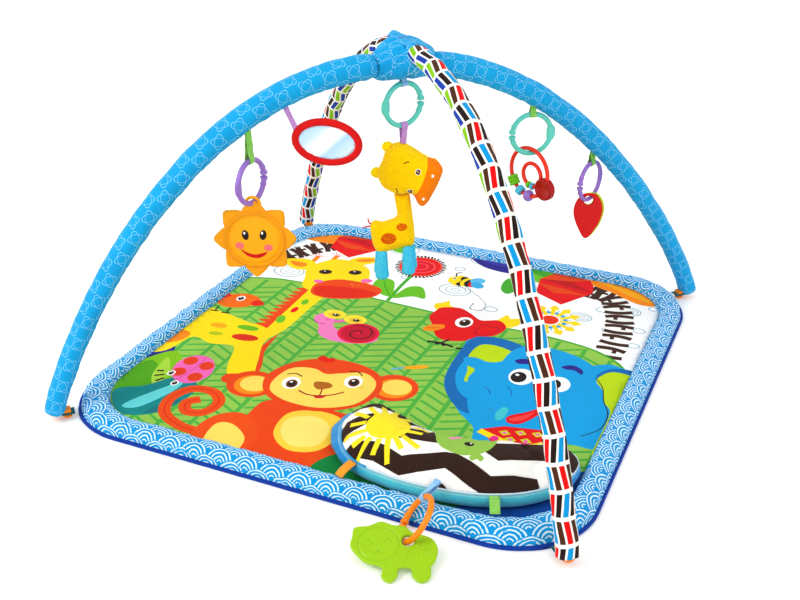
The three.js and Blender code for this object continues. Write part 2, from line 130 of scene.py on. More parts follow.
class Mat:
    """A Principled material with helpers for its node tree."""

    def __init__(self, name, rough=0.8, sheen=0.0, coat=0.0, specular=0.5, metallic=0.0):
        self.mat = bpy.data.materials.new(name)
        self.mat.use_nodes = True
        self.tree = self.mat.node_tree
        self.tree.nodes.clear()
        out = self.tree.nodes.new("ShaderNodeOutputMaterial")
        self.bsdf = self.tree.nodes.new("ShaderNodeBsdfPrincipled")
        self.tree.links.new(self.bsdf.outputs[0], out.inputs[0])
        for key, value in {
            "Roughness": rough,
            "Sheen Weight": sheen,
            "Sheen Roughness": 0.5,
            "Coat Weight": coat,
            "Coat Roughness": 0.2,
            "Specular IOR Level": specular,
            "Metallic": metallic,
        }.items():
            self.bsdf.inputs[key].default_value = value
        self.heights = []

    def node(self, kind, **props):
        n = self.tree.nodes.new(kind)
        for k, v in props.items():
            setattr(n, k, v)
        return n

    def link(self, a, b):
        self.tree.links.new(a.socket if isinstance(a, S) else a, b)

    def coords(self, which="Object"):
        return self.node("ShaderNodeTexCoord").outputs[which]

    def uv(self):
        split = self.node("ShaderNodeSeparateXYZ")
        self.link(self.coords("UV"), split.inputs[0])
        return S(self.tree, split.outputs[0]), S(self.tree, split.outputs[1])

    def noise(self, scale, detail=2.0, rough=0.5, which="Object"):
        n = self.node("ShaderNodeTexNoise")
        n.inputs["Scale"].default_value = scale
        n.inputs["Detail"].default_value = detail
        n.inputs["Roughness"].default_value = rough
        self.link(self.coords(which), n.inputs["Vector"])
        return S(self.tree, n.outputs["Fac"])

    def wave(self, scale, direction, which="Object", distort=0.0):
        n = self.node("ShaderNodeTexWave", bands_direction=direction)
        n.inputs["Scale"].default_value = scale
        n.inputs["Distortion"].default_value = distort
        self.link(self.coords(which), n.inputs["Vector"])
        return S(self.tree, n.outputs["Fac"])

    def mix(self, fac, a, b):
        n = self.node("ShaderNodeMix", data_type="RGBA")
        for value, slot in ((fac, 0), (a, 6), (b, 7)):
            if isinstance(value, S):
                self.link(value, n.inputs[slot])
            elif hasattr(value, "is_output"):
                self.link(value, n.inputs[slot])
            else:
                n.inputs[slot].default_value = value
        return n.outputs[2]

    def ramp(self, fac, stops, mode="CONSTANT"):
        n = self.node("ShaderNodeValToRGB")
        n.color_ramp.interpolation = mode
        el = n.color_ramp.elements
        while len(el) < len(stops):
            el.new(0.5)
        for e, (at, colour) in zip(el, stops):
            e.position = at
        for e, (at, colour) in zip(el, stops):
            e.color = colour
        self.link(fac, n.inputs[0])
        return n.outputs[0]

    def vary(self, colour, amount=0.12, scale=60.0, lift=0.0):
        """Multiplies a colour by a soft patchy light and shade, as dyed cloth or plastic has."""
        grain = self.noise(scale, 3.0)
        shade = grain * (2 * amount) + (1 - amount + lift)
        n = self.node("ShaderNodeMix", data_type="RGBA", blend_type="MULTIPLY")
        n.inputs[0].default_value = 1.0
        if hasattr(colour, "is_output"):
            self.link(colour, n.inputs[6])
        else:
            n.inputs[6].default_value = colour
        self.link(shade, n.inputs[7])
        return n.outputs[2]

    def base(self, colour):
        if hasattr(colour, "is_output"):
            self.link(colour, self.bsdf.inputs["Base Color"])
        else:
            self.bsdf.inputs["Base Color"].default_value = colour
        return self

    def bump(self, height, strength=0.3, distance=0.001):
        self.heights.append(height * (strength * distance))
        return self

    def done(self):
        if self.heights:
            total = self.heights[0]
            for h in self.heights[1:]:
                total = total + h
            b = self.node("ShaderNodeBump")
            b.inputs["Strength"].default_value = 1.0
            b.inputs["Distance"].default_value = 1.0
            self.link(total, b.inputs["Height"])
            self.link(b.outputs[0], self.bsdf.inputs["Normal"])
        return self.mat


def weave(m, period=0.0011, strength=0.35, which="Object"):
    """Fine over-and-under threads."""
    s = 0.314 / period
    a, b, c = (m.wave(s, d, which) for d in ("X", "Y", "Z"))
    m.bump((a * b + c * (1.0 - (a - b).abs())), strength, 0.0003)
    return m


def cloth(name, colour, rough=0.85, sheen=0.05, vary=0.06, period=0.0011, wrinkle=0.0):
    m = Mat(name, rough, sheen, specular=0.25)
    m.base(m.vary(colour, vary, 45.0))
    weave(m, period)
    if wrinkle:
        m.bump(m.noise(55.0, 3.0), wrinkle, 0.004)
    return m.done()


def print_cloth(name, rough=0.8, sheen=0.05, vary=0.035):
    m = Mat(name, rough, sheen, specular=0.25)
    n = m.node("ShaderNodeVertexColor", layer_name="Print")
    m.base(m.vary(n.outputs[0], vary, 30.0))
    weave(m)
    m.bump(m.noise(38.0, 3.0), 0.35, 0.004)
    return m.done()


def plush(name, colour, light, rough=1.0, attribute=False):
    m = Mat(name, rough, 0.12, specular=0.1)
    tuft = m.noise(950.0, 3.0, 0.7)
    patch = m.noise(160.0, 2.0)
    if attribute:
        n = m.node("ShaderNodeVertexColor", layer_name="Print")
        base = n.outputs[0]
    else:
        base = m.mix((patch * 0.7 + tuft * 0.6 - 0.15), colour, light)
    shade = m.vary(base, 0.34, 360.0, 0.16)
    m.base(shade)
    m.bump(tuft, 1.0, 0.0009)
    m.bump(m.noise(420.0, 3.0, 0.6), 1.0, 0.0012)
    m.bump(patch, 0.5, 0.0015)
    return m.done()


def plastic(name, colour, rough=0.32, coat=0.12, attribute=False, wear=0.05):
    m = Mat(name, rough, coat=coat, specular=0.35)
    base = colour
    if attribute:
        base = m.node("ShaderNodeVertexColor", layer_name="Print").outputs[0]
    m.base(m.vary(base, wear, 35.0))
    grain = m.noise(420.0, 2.0)
    m.link(grain * 0.14 + (rough - 0.07), m.bsdf.inputs["Roughness"])
    m.bump(m.noise(90.0, 2.0), 0.12, 0.0012)
    m.bump(grain, 0.2, 0.0001)
    return m.done()


# ---- meshes -------------------------------------------------------------------------------------
def piece(name, verts, faces, material, body, nodes=(), slot=None, uv=None, colours=None, smooth=True):
    mesh = bpy.data.meshes.new(name)
    mesh.from_pydata([tuple(v) for v in verts], [], [tuple(int(i) for i in f) for f in faces])
    mesh.update()
    if smooth:
        mesh.polygons.foreach_set("use_smooth", [True] * len(mesh.polygons))
    if uv is not None:
        layer = mesh.uv_layers.new(name="UVMap")
        layer.data.foreach_set("uv", np.asarray(uv, dtype=np.float32).ravel())
    if colours is not None:
        layer = mesh.color_attributes.new("Print", "FLOAT_COLOR", "CORNER")
        layer.data.foreach_set("color", np.asarray(colours, dtype=np.float32).ravel())
    bm = bmesh.new()
    bm.from_mesh(mesh)
    bmesh.ops.recalc_face_normals(bm, faces=bm.faces)
    bm.to_mesh(mesh)
    bm.free()
    mesh.materials.append(material)
    obj = bpy.data.objects.new(name, mesh)
    bpy.context.scene.collection.objects.link(obj)
    if nodes:
        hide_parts(*nodes)
    obj["body"] = body
    return obj


def ride(obj):
    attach(obj, obj["body"])


def loft(rings, closed_u=False, closed_v=True, caps=True, scale_u=None, girth=1.0):
    """Faces and corner UVs of a grid of rings: u runs along the rings, v round each ring."""
    rings = np.asarray(rings, dtype=float)
    nu, nv = rings.shape[:2]
    verts = rings.reshape(-1, 3)
    mid = rings.mean(axis=1)
    seg = np.linalg.norm(np.diff(np.vstack([mid, mid[:1]]), axis=0), axis=1)
    along = np.concatenate([[0], np.cumsum(seg)])
    if scale_u is not None:
        along = scale_u
    faces, uv = [], []
    for i in range(nu if closed_u else nu - 1):
        i2 = (i + 1) % nu
        for j in range(nv if closed_v else nv - 1):
            j2 = (j + 1) % nv
            faces.append((i * nv + j, i2 * nv + j, i2 * nv + j2, i * nv + j2))
            a, b = along[i], along[i + 1]
            c, d = j / nv * girth, (j + 1) / nv * girth
            uv += [(a, c), (b, c), (b, d), (a, d)]
    if caps and not closed_u and closed_v:
        for i, flip in ((0, False), (nu - 1, True)):
            c = len(verts)
            verts = np.vstack([verts, rings[i].mean(axis=0)])
            for j in range(nv):
                a, b = i * nv + j, i * nv + (j + 1) % nv
                faces.append((b, a, c) if flip is False else (a, b, c))
                u = along[i]
                uv += [(u, 0), (u, 0), (u, 0)]
    return verts, faces, uv


def tube(path, radius, sides=12, closed=False, up=Vector((0, 0, 1)), shape=None):
    """Rings round a path. radius is a number, a list, or with shape(i, angle) -> radius."""
    path = np.asarray(path, dtype=float)
    n = len(path)
    tangent = np.roll(path, -1, 0) - np.roll(path, 1, 0)
    if not closed:
        tangent[0], tangent[-1] = path[1] - path[0], path[-1] - path[-2]
    tangent /= np.linalg.norm(tangent, axis=1)[:, None]
    side = np.zeros_like(path)
    ref = np.array(up, dtype=float)
    for i in range(n):
        s = np.cross(tangent[i], ref)
        if np.linalg.norm(s) < 1e-3:
            s = np.cross(tangent[i], [0.3, 1, 0.2])
        side[i] = s / np.linalg.norm(s)
    over = np.cross(side, tangent)
    angles = np.arange(sides) * 2 * PI / sides
    rings = np.zeros((n, sides, 3))
    for i in range(n):
        r = radius[i] if hasattr(radius, "__len__") else radius
        rr = np.array([shape(i, a) for a in angles]) if shape else r
        rr = np.broadcast_to(rr, sides)[:, None]
        rings[i] = path[i] + rr * (np.cos(angles)[:, None] * side[i] + np.sin(angles)[:, None] * over[i])
    return rings


def resample(points, step, closed=False):
    pts = np.asarray(points, dtype=float)
    if closed:
        pts = np.vstack([pts, pts[:1]])
    d = np.concatenate([[0], np.cumsum(np.linalg.norm(np.diff(pts, axis=0), axis=1))])
    count = max(3, int(round(d[-1] / step)))
    at = np.linspace(0, d[-1], count + 1)
    out = np.stack([np.interp(at, d, pts[:, k]) for k in range(pts.shape[1])], axis=1)
    return out[:-1] if closed else out


def spline(points, closed=True, steps=6):
    """Catmull-Rom curve through the points."""
    p = np.asarray(points, dtype=float)
    n = len(p)
    out = []
    for i in range(n if closed else n - 1):
        a, b, c, d = (p[(i + k) % n] if closed else p[min(max(i + k, 0), n - 1)] for k in (-1, 0, 1, 2))
        for j in range(steps):
            t = j / steps
            out.append(
                0.5 * ((2 * b) + (c - a) * t + (2 * a - 5 * b + 4 * c - d) * t**2
                       + (3 * b - a - 3 * c + d) * t**3)
            )
    if not closed:
        out.append(p[-1])
    return np.array(out)


def ellipse(x, y, rx, ry=None, turn=0.0, n=36):
    ry = rx if ry is None else ry
    t = np.arange(n) * 2 * PI / n
    c, s = math.cos(math.radians(turn)), math.sin(math.radians(turn))
    px, py = rx * np.cos(t), ry * np.sin(t)
    return np.stack([x + px * c - py * s, y + px * s + py * c], axis=1)


def stroke(points, width, smooth=True, taper=False):
    p = spline(points, False, 5) if smooth and len(points) > 2 else np.asarray(points, dtype=float)
    t = np.gradient(p, axis=0)
    t /= np.linalg.norm(t, axis=1)[:, None] + 1e-9
    n = np.stack([-t[:, 1], t[:, 0]], axis=1)
    w = np.full(len(p), width / 2)
    if taper:
        w = w * np.clip(np.sin(np.linspace(0.12, PI - 0.12, len(p))) * 1.4, 0.05, 1)
    return np.vstack([p + n * w[:, None], (p - n * w[:, None])[::-1]])


def inside(poly, pts):
    x, y = pts[:, 0], pts[:, 1]
    result = np.zeros(len(pts), dtype=bool)
    lo, hi = poly.min(0), poly.max(0)
    near = np.where((x >= lo[0]) & (x <= hi[0]) & (y >= lo[1]) & (y <= hi[1]))[0]
    if not len(near):
        return result
    qx, qy = x[near], y[near]
    hit = np.zeros(len(near), dtype=bool)
    a = poly
    b = np.roll(poly, -1, 0)
    for (x0, y0), (x1, y1) in zip(a, b):
        if y0 == y1:
            continue
        cross = ((y0 > qy) != (y1 > qy)) & (qx < (x1 - x0) * (qy - y0) / (y1 - y0) + x0)
        hit ^= cross
    result[near] = hit
    return result


def edge_distance(poly, pts):
    a = poly
    b = np.roll(poly, -1, 0)
    best = np.full(len(pts), 1e9)
    for p, q in zip(a, b):
        d = q - p
        L = d @ d
        if L < 1e-12:
            continue
        t = np.clip(((pts - p) @ d) / L, 0, 1)
        best = np.minimum(best, np.linalg.norm(pts - (p + t[:, None] * d), axis=1))
    return best


def art_mesh(outline, art, base, spacing, rings=()):
    """Flat triangles cut along every printed edge. Returns points, triangles and colours."""
    outline = np.asarray(outline, dtype=float)
    pts, edges = [], []

    def loop(poly):
        k = len(pts)
        pts.extend(map(tuple, poly))
        edges.extend((k + i, k + (i + 1) % len(poly)) for i in range(len(poly)))

    loop(outline)
    for poly, _ in art:
        loop(poly)
    lo, hi = outline.min(0), outline.max(0)
    gx, gy = np.meshgrid(np.arange(lo[0], hi[0], spacing), np.arange(lo[1], hi[1], spacing * 0.866))
    gx[1::2] += spacing / 2
    grid = np.stack([gx.ravel(), gy.ravel()], axis=1)
    grid = grid[inside(outline, grid)]
    grid = grid[edge_distance(outline, grid) > spacing * 0.4]
    pts.extend(map(tuple, grid))
    if rings:
        t = np.roll(outline, -1, 0) - np.roll(outline, 1, 0)
        t /= np.linalg.norm(t, axis=1)[:, None] + 1e-9
        area = np.sum(outline[:, 0] * np.roll(outline[:, 1], -1) - np.roll(outline[:, 0], -1) * outline[:, 1])
        n = np.stack([-t[:, 1], t[:, 0]], axis=1) * (1 if area > 0 else -1)
        for r in rings:
            q = outline + n * r
            q = q[inside(outline, q)]
            q = q[edge_distance(outline, q) > r * 0.85]
            pts.extend(map(tuple, q))
    v, _, f, *_ = delaunay_2d_cdt([Vector(p) for p in pts], edges, [], 0, 1e-4)
    v = np.array([tuple(p) for p in v])
    f = np.array([tuple(t) for t in f if len(t) == 3])
    c = v[f].mean(axis=1)
    keep = inside(outline, c)
    f, c = f[keep], c[keep]
    area2 = np.cross(v[f[:, 1]] - v[f[:, 0]], v[f[:, 2]] - v[f[:, 0]])
    keep = np.abs(area2) > 1e-7
    f, c, area2 = f[keep], c[keep], area2[keep]
    f[area2 < 0] = f[area2 < 0][:, ::-1]
    colour = np.tile(np.array(lin(base)), (len(f), 1))
    for poly, rgb in art:
        colour[inside(np.asarray(poly), c)] = lin(rgb)
    used = np.unique(f)
    new = np.full(len(v), -1)
    new[used] = np.arange(len(used))
    return v[used], new[f], colour


def plate(name, outline, art, base, spacing, top, bottom, place, material, body, nodes=(), slot=None,
          rings=(), back=None, scale=MM):
    """A closed piece: a front and a back surface over an outline, sewn or moulded together at its edge.

    top and bottom give the height in the outline's units from (points, distance to the edge)."""
    outline = np.asarray(outline, dtype=float)
    v, f, colour = art_mesh(outline, art, base, spacing, rings)
    d = edge_distance(outline, v)
    rim = d < 1e-3
    zt, zb = top(v, d), bottom(v, d)
    n = len(v)
    front = np.column_stack([v, zt])
    rear_index = np.where(rim & (np.abs(zt - zb) < 1e-6), np.arange(n), -1)
    extra = np.where(rear_index < 0)[0]
    rear_index[extra] = n + np.arange(len(extra))
    rear = np.column_stack([v[extra], zb[extra]])
    verts = np.vstack([front, rear]) * scale
    faces = list(map(tuple, f)) + [tuple(rear_index[t][::-1]) for t in f]
    back_colour = colour if back is None else np.tile(np.array(lin(back)), (len(f), 1))
    colours = [c for c in np.vstack([colour, back_colour]) for _ in range(3)]
    # side wall where the two surfaces don't meet at the edge
    count = {}
    for t in f:
        for a, b in ((t[0], t[1]), (t[1], t[2]), (t[2], t[0])):
            count[(a, b)] = True
    for (a, b) in count:
        if (b, a) not in count and (rear_index[a] != a or rear_index[b] != b):
            ring = [a, rear_index[a], rear_index[b], b]
            ring = [x for i, x in enumerate(ring) if x not in ring[:i]]
            faces.append(tuple(ring))
            colours += [lin(base)] * len(ring)
    verts = np.array([tuple(place @ Vector(p)) for p in verts])
    return piece(name, verts, faces, material, body, nodes, slot, colours=colours)


def puff(obj, voxel=0.005, pressure=4.0, cap=0.006, frames=20, pin=None):
    """Fills a stuffed piece: a remeshed copy is blown up as cloth, and obj follows its surface."""
    mesh = obj.data
    proxy = bpy.data.objects.new(obj.name + "_proxy", mesh.copy())
    bpy.context.scene.collection.objects.link(proxy)
    m = proxy.modifiers.new("r", "REMESH")
    m.mode, m.voxel_size = "VOXEL", voxel
    deps = bpy.context.evaluated_depsgraph_get()
    fine = bpy.data.meshes.new_from_object(proxy.evaluated_get(deps))
    proxy.modifiers.clear()
    proxy.data = fine
    rest = np.array([v.co[:] for v in fine.vertices])
    if pin is not None:
        group = proxy.vertex_groups.new(name="pin")
        held = [i for i, p in enumerate(rest) if pin(p)]
        if held:
            group.add(held, 1.0, "REPLACE")
    c = proxy.modifiers.new("c", "CLOTH")
    st = c.settings
    st.quality, st.mass = 5, 0.2
    st.use_pressure, st.uniform_pressure_force = True, pressure
    st.effector_weights.gravity = 0
    st.tension_stiffness = st.compression_stiffness = 12
    st.bending_stiffness = 0.4
    st.shrink_min = -0.04
    if pin is not None:
        st.vertex_group_mass = "pin"
    scene = bpy.context.scene
    c.point_cache.frame_start, c.point_cache.frame_end = 1, frames
    for k in range(1, frames + 1):
        scene.frame_set(k)
    deps = bpy.context.evaluated_depsgraph_get()
    blown = proxy.evaluated_get(deps).to_mesh()
    now = np.array([v.co[:] for v in blown.vertices])
    move = now - rest
    length = np.linalg.norm(move, axis=1)
    move *= (np.minimum(length, cap) / np.maximum(length, 1e-9))[:, None]
    scene.frame_set(1)
    tree = KDTree(len(rest))
    for i, p in enumerate(rest):
        tree.insert(p, i)
    tree.balance()
    for v in mesh.vertices:
        near = tree.find_n(v.co, 5)
        w = np.array([1 / (d + 0.001) ** 2 for _, _, d in near])
        delta = (move[[i for _, i, _ in near]] * w[:, None]).sum(0) / w.sum()
        v.co += Vector(delta)
    mesh.update()
    bpy.data.objects.remove(proxy, do_unlink=True)


def wobble(p, scale, seed=0.0):
    return noise.noise(Vector((p[0] * scale + seed, p[1] * scale - seed, p[2] * scale)))


# ---- frames that repeat part.mjs ----------------------------------------------------------------
HALF_SPAN, FOOT_Z = 0.618, 0.012
BLUE = dict(height=0.538, lean=0.05, turn=45, r=0.021)
STRIPED = dict(height=0.565, lean=-0.09, turn=-45, r=0.0165)


def arch_height(arch, s):
    u = s / HALF_SPAN
    leaning = abs(u + arch["lean"] * (1 - u * u))
    return FOOT_Z + (arch["height"] - FOOT_Z) * max(0.0, 1 - leaning**2.13) ** (1 / 1.15)


def arch_point(arch, s):
    a = math.radians(arch["turn"])
    return np.array([s * math.cos(a), s * math.sin(a), arch_height(arch, s)])


FACE = math.radians(23.9)
RIGHT = Vector((math.cos(FACE), math.sin(FACE), 0))
FRONT = Vector((math.sin(FACE), -math.cos(FACE), 0))


def toy_frame(s, across=0.0, up=0.0, tilt=0.0):
    """Local X to the right, Y up and Z to the front, in millimetres scaled later, at a blue-arch point."""
    a = arch_point(BLUE, s)
    base = Matrix((
        (RIGHT.x, 0, FRONT.x, a[0]),
        (RIGHT.y, 0, FRONT.y, a[1]),
        (RIGHT.z, 1, FRONT.z, a[2]),
        (0, 0, 0, 1),
    ))
    return base @ Matrix.Translation((across * MM, up * MM, 0)) @ Matrix.Rotation(math.radians(tilt), 4, "Z")


# ---- camera, light, floor -----------------------------------------------------------------------
def stage():
    cam = bpy.data.cameras.new("camera")
    cam.lens, cam.sensor_width = 47.73, 36
    obj = bpy.data.objects.new("camera", cam)
    yaw, pitch = -0.417, 0.4804
    forward = Vector((math.sin(yaw) * math.cos(pitch), math.cos(yaw) * math.cos(pitch), -math.sin(pitch)))
    obj.location = (0.6801, -1.5488, 0.9879)
    obj.rotation_euler = forward.to_track_quat("-Z", "Y").to_euler()
    bpy.context.scene.collection.objects.link(obj)
    bpy.context.scene.camera = obj

    def area(name, loc, size, power, aim=(0, 0, 0.15)):
        light = bpy.data.lights.new(name, "AREA")
        light.energy, light.size = power, size
        o = bpy.data.objects.new(name, light)
        o.location = loc
        o.rotation_euler = (Vector(aim) - Vector(loc)).to_track_quat("-Z", "Y").to_euler()
        bpy.context.scene.collection.objects.link(o)

    area("key", (-1.5, -2.0, 2.4), 1.4, 40)
    area("fill", (2.2, -1.4, 1.7), 2.4, 14)
    area("back", (0.2, 2.4, 2.2), 2.4, 14)
    world = bpy.data.worlds.new("studio")
    world.use_nodes = True
    world.node_tree.nodes["Background"].inputs[0].default_value = (1, 1, 1, 1)
    world.node_tree.nodes["Background"].inputs[1].default_value = 0.9
    bpy.context.scene.world = world
    bpy.context.scene.view_settings.view_transform = "Standard"
    bpy.context.scene.view_settings.gamma = 0.86
    m = Mat("floor", 0.9)
    m.base(m.vary((0.93, 0.93, 0.93, 1), 0.01, 3.0))
    m.bsdf.inputs["Emission Color"].default_value = (1, 1, 1, 1)
    m.bsdf.inputs["Emission Strength"].default_value = 0.12
    k = 14.0
    mesh = bpy.data.meshes.new("floor")
    mesh.from_pydata([(-k, -k, 0), (k, -k, 0), (k, k, 0), (-k, k, 0)], [], [(0, 1, 2, 3)])
    mesh.materials.append(m.done())
    floor = bpy.data.objects.new("floor", mesh)
    bpy.context.scene.collection.objects.link(floor)


# ---- mat ----------------------------------------------------------------------------------------
MAT_HALF, MAT_CORNER, PANEL_CORNER, BORDER_W = 450.0, 115.0, 118.0, 43.0


def mat_outline(inset, steps=7):
    half = MAT_HALF - inset
    corner = MAT_CORNER - inset + (PANEL_CORNER + BORDER_W - MAT_CORNER) * inset / BORDER_W
    out = []
    for q in range(4):
        mid = (q + 0.5) * PI / 2
        for i in range(steps + 1):
            a = (q + i / steps) * PI / 2
            out.append((
                math.copysign(1, math.cos(mid)) * (half - corner) + corner * math.cos(a),
                math.copysign(1, math.sin(mid)) * (half - corner) + corner * math.sin(a),
            ))
    return np.array(out)


def band(profile, count=840):
    """Rings round the mat, each through all the profile points [inset, z], in millimetres."""
    loops = []
    for inset, z in profile:
        dense = resample(mat_outline(inset, 24), 1.0, True)
        # every loop starts at the same bearing, so that rings stay square to the edge
        seg = resample(mat_outline(20.0, 24), 1.0, True)
        loops.append((dense, seg, z))
    guide = loops[0][1]
    at = np.linspace(0, len(guide), count, endpoint=False).astype(int)
    mid = guide[at]
    t = np.roll(guide, -3, 0)[at] - np.roll(guide, 3, 0)[at]
    t /= np.linalg.norm(t, axis=1)[:, None]
    n = np.stack([t[:, 1], -t[:, 0]], axis=1)
    rings = np.zeros((count, len(profile), 3))
    for j, (inset, z) in enumerate(profile):
        # the border is wider round the corners: its inner side follows its own outline
        off = 20.0 - inset
        p = mid + n * off
        if inset > 20.0:
            inner = loops[j][0]
            k = np.argmin(((inner[None, :, :] - p[:, None, :]) ** 2).sum(-1), axis=1)
            p = inner[k]
        rings[:, j, :2] = p
        rings[:, j, 2] = z
    return rings * MM


def border_material():
    m = Mat("border_print", 0.8, 0.1, specular=0.25)
    u, v = m.uv()
    w, h, big = 0.046, 0.0158, 0.0232
    soft = m.noise(120.0, 2.0) * 0.0016 - 0.0008
    ink = None
    for k in (0, 1):
        row = (v / h).floor() - float(k)
        shift = row.mod(2.0) * 0.5
        x = ((u / w + shift).fract() - 0.5) * w
        y = v - row * h
        r = x.hypot(y) + soft
        mark = None
        for at, thick in ((0.0205, 0.00125), (0.0146, 0.0012), (0.0090, 0.0011), (0.0035, 0.0011)):
            arc = (r - at).abs().lt(thick)
            mark = arc if mark is None else mark.max(arc)
        own = r.lt(big)
        ink = mark * own if ink is None else mark * own + ink * (1.0 - own)
    ink = ink * m.noise(150.0, 2.0).gt(0.34) * 0.95
    blue = m.mix(m.noise(9.0, 2.0), lin((0, 146, 208)), lin((12, 166, 224)))
    m.base(m.vary(m.mix(ink, blue, lin((226, 244, 255))), 0.05, 40.0))
    weave(m)
    m.bump(m.noise(60.0, 3.0), 0.5, 0.004)
    return m.done()


def mat_parts():
    navy = cloth("navy_binding", lin((26, 68, 158)), period=0.0014, wrinkle=0.3)
    profile = [(BORDER_W, 12.4), (BORDER_W - 0.8, 16.5)]
    n = 15
    for i in range(n):
        a = PI * i / (n - 1)
        c = 0.5 * (1 - math.cos(a))
        profile.append((BORDER_W - 1.6 - (BORDER_W - 8) * c,
                        13.5 + 14.5 * math.sin(a) ** 0.8 - 4.0 * c))
    profile += [(5.0, 6.6), (4.0, 4.5), (7.0, 2.9), (20.0, 2.8), (34.0, 2.8), (BORDER_W - 1, 4.0),
                (BORDER_W, 8.0)]
    rings = band(profile, 850)
    # puckers along both seams, and slow swells along its length
    mid = rings.mean(axis=1)
    seg = np.linalg.norm(np.diff(np.vstack([mid, mid[:1]]), axis=0), axis=1)
    along = np.concatenate([[0], np.cumsum(seg)])
    total = along[-1]
    for i in range(len(rings)):
        a = along[i] / total * 2 * PI
        q = Vector((math.cos(a) * total / 6.28, math.sin(a) * total / 6.28, 0))
        corner = min(1.0, abs(abs(mid[i][0]) - abs(mid[i][1])) / 0.2)
        swell = 1 + 0.07 * noise.noise(q * 9) + 0.06 * (1 - corner)
        for j in range(2, 2 + n):
            c = (j - 2) / (n - 1)
            seam = max(0, 1 - min(c, 1 - c) / 0.42)
            crease = noise.noise(Vector((q.x * 75, q.y * 75, c * 2.2)))
            fine = noise.noise(Vector((q.x * 170, q.y * 170, c * 4.0 + 9)))
            z = rings[i, j, 2]
            rings[i, j, 2] = 0.003 + (z - 0.003) * swell + (crease * 0.0034 + fine * 0.0014) * (0.35 + seam)
    verts, faces, uv = loft(rings, closed_u=True, caps=False)
    # girth coordinate in metres, so that the print keeps its scale
    ring = rings[10]
    g = np.concatenate([[0], np.cumsum(np.linalg.norm(np.diff(np.vstack([ring, ring[:1]]), axis=0), axis=1))])
    nv = rings.shape[1]
    uv = []
    whole = round(total / 0.046) * 0.046
    for i in range(len(rings)):
        a, b = along[i] / total * whole, along[i + 1] / total * whole
        for j in range(nv):
            lo, hi = g[-1] - g[j], g[-1] - g[j + 1]
            uv += [(a, lo), (b, lo), (b, hi), (a, hi)]
    border = piece("border", verts, faces, border_material(), "mat", ["mat_border"], "border_fabric", uv=uv)

    # bias binding round the ground edge
    pipe = [(4.9, 0.3), (0.6, 0.5), (0.1, 2.6), (0.6, 4.9), (2.4, 6.0), (4.6, 5.6), (5.0, 3.2)]
    rings = band(pipe, 560)
    for i in range(len(rings)):
        m = rings[i].mean(0)
        rings[i, 1:6, 2] += 0.0005 * wobble(m, 60) + 0.0003
    verts, faces, uv = loft(rings, closed_u=True, caps=False)
    binding = piece("edge_binding", verts, faces, navy, "mat", ["mat_piping"], "piping_fabric", uv=uv)

    # quilted underside
    under = Mat("underside_cloth", 0.9, 0.1, specular=0.2)
    quilt = under.wave(0.314 / 0.09 * 1.0, "DIAGONAL")
    under.base(under.vary(lin((38, 84, 170)), 0.08, 25.0))
    weave(under, 0.0014)
    under.bump(quilt, 0.5, 0.002)
    outline = resample(mat_outline(5.4, 10), 12.0, True)
    back = plate(
        "mat_underside", outline, [], (38, 84, 170), 26.0,
        lambda p, d: 0.9 + 1.5 * np.minimum(d / 6, 1), lambda p, d: 0.9 - 0.9 * np.minimum(d / 4, 1),
        Matrix.Identity(4), under.done(), "mat", ["mat_backing"], "piping_fabric")
    for obj in (border, binding, back):
        ride(obj)


def herringbone(x0, x1, y0, top, pitch=52.0, step=23.0):
    """The printed leafy ground: upright ribs with slanting veins between them, up to the hill's edge."""
    dark = (96, 180, 84)
    out = []
    for i in range(int((x1 - x0) / pitch) + 1):
        x = x0 + i * pitch
        y1 = top(x) - 5
        out.append((stroke([(x + 4 * math.sin(i), y0), (x - 5, (y0 + y1) / 2), (x + 3, y1)], 8), dark))
        near, far = (0, 24) if i % 2 else (24, 0)
        y = y0 - 60
        while y + 30 < min(top(x), top(x + pitch)):
            out.append((stroke([(x + 2, y + near), (x + pitch - 2, y + far)], 5.6, smooth=False), dark))
            y += step
    return out


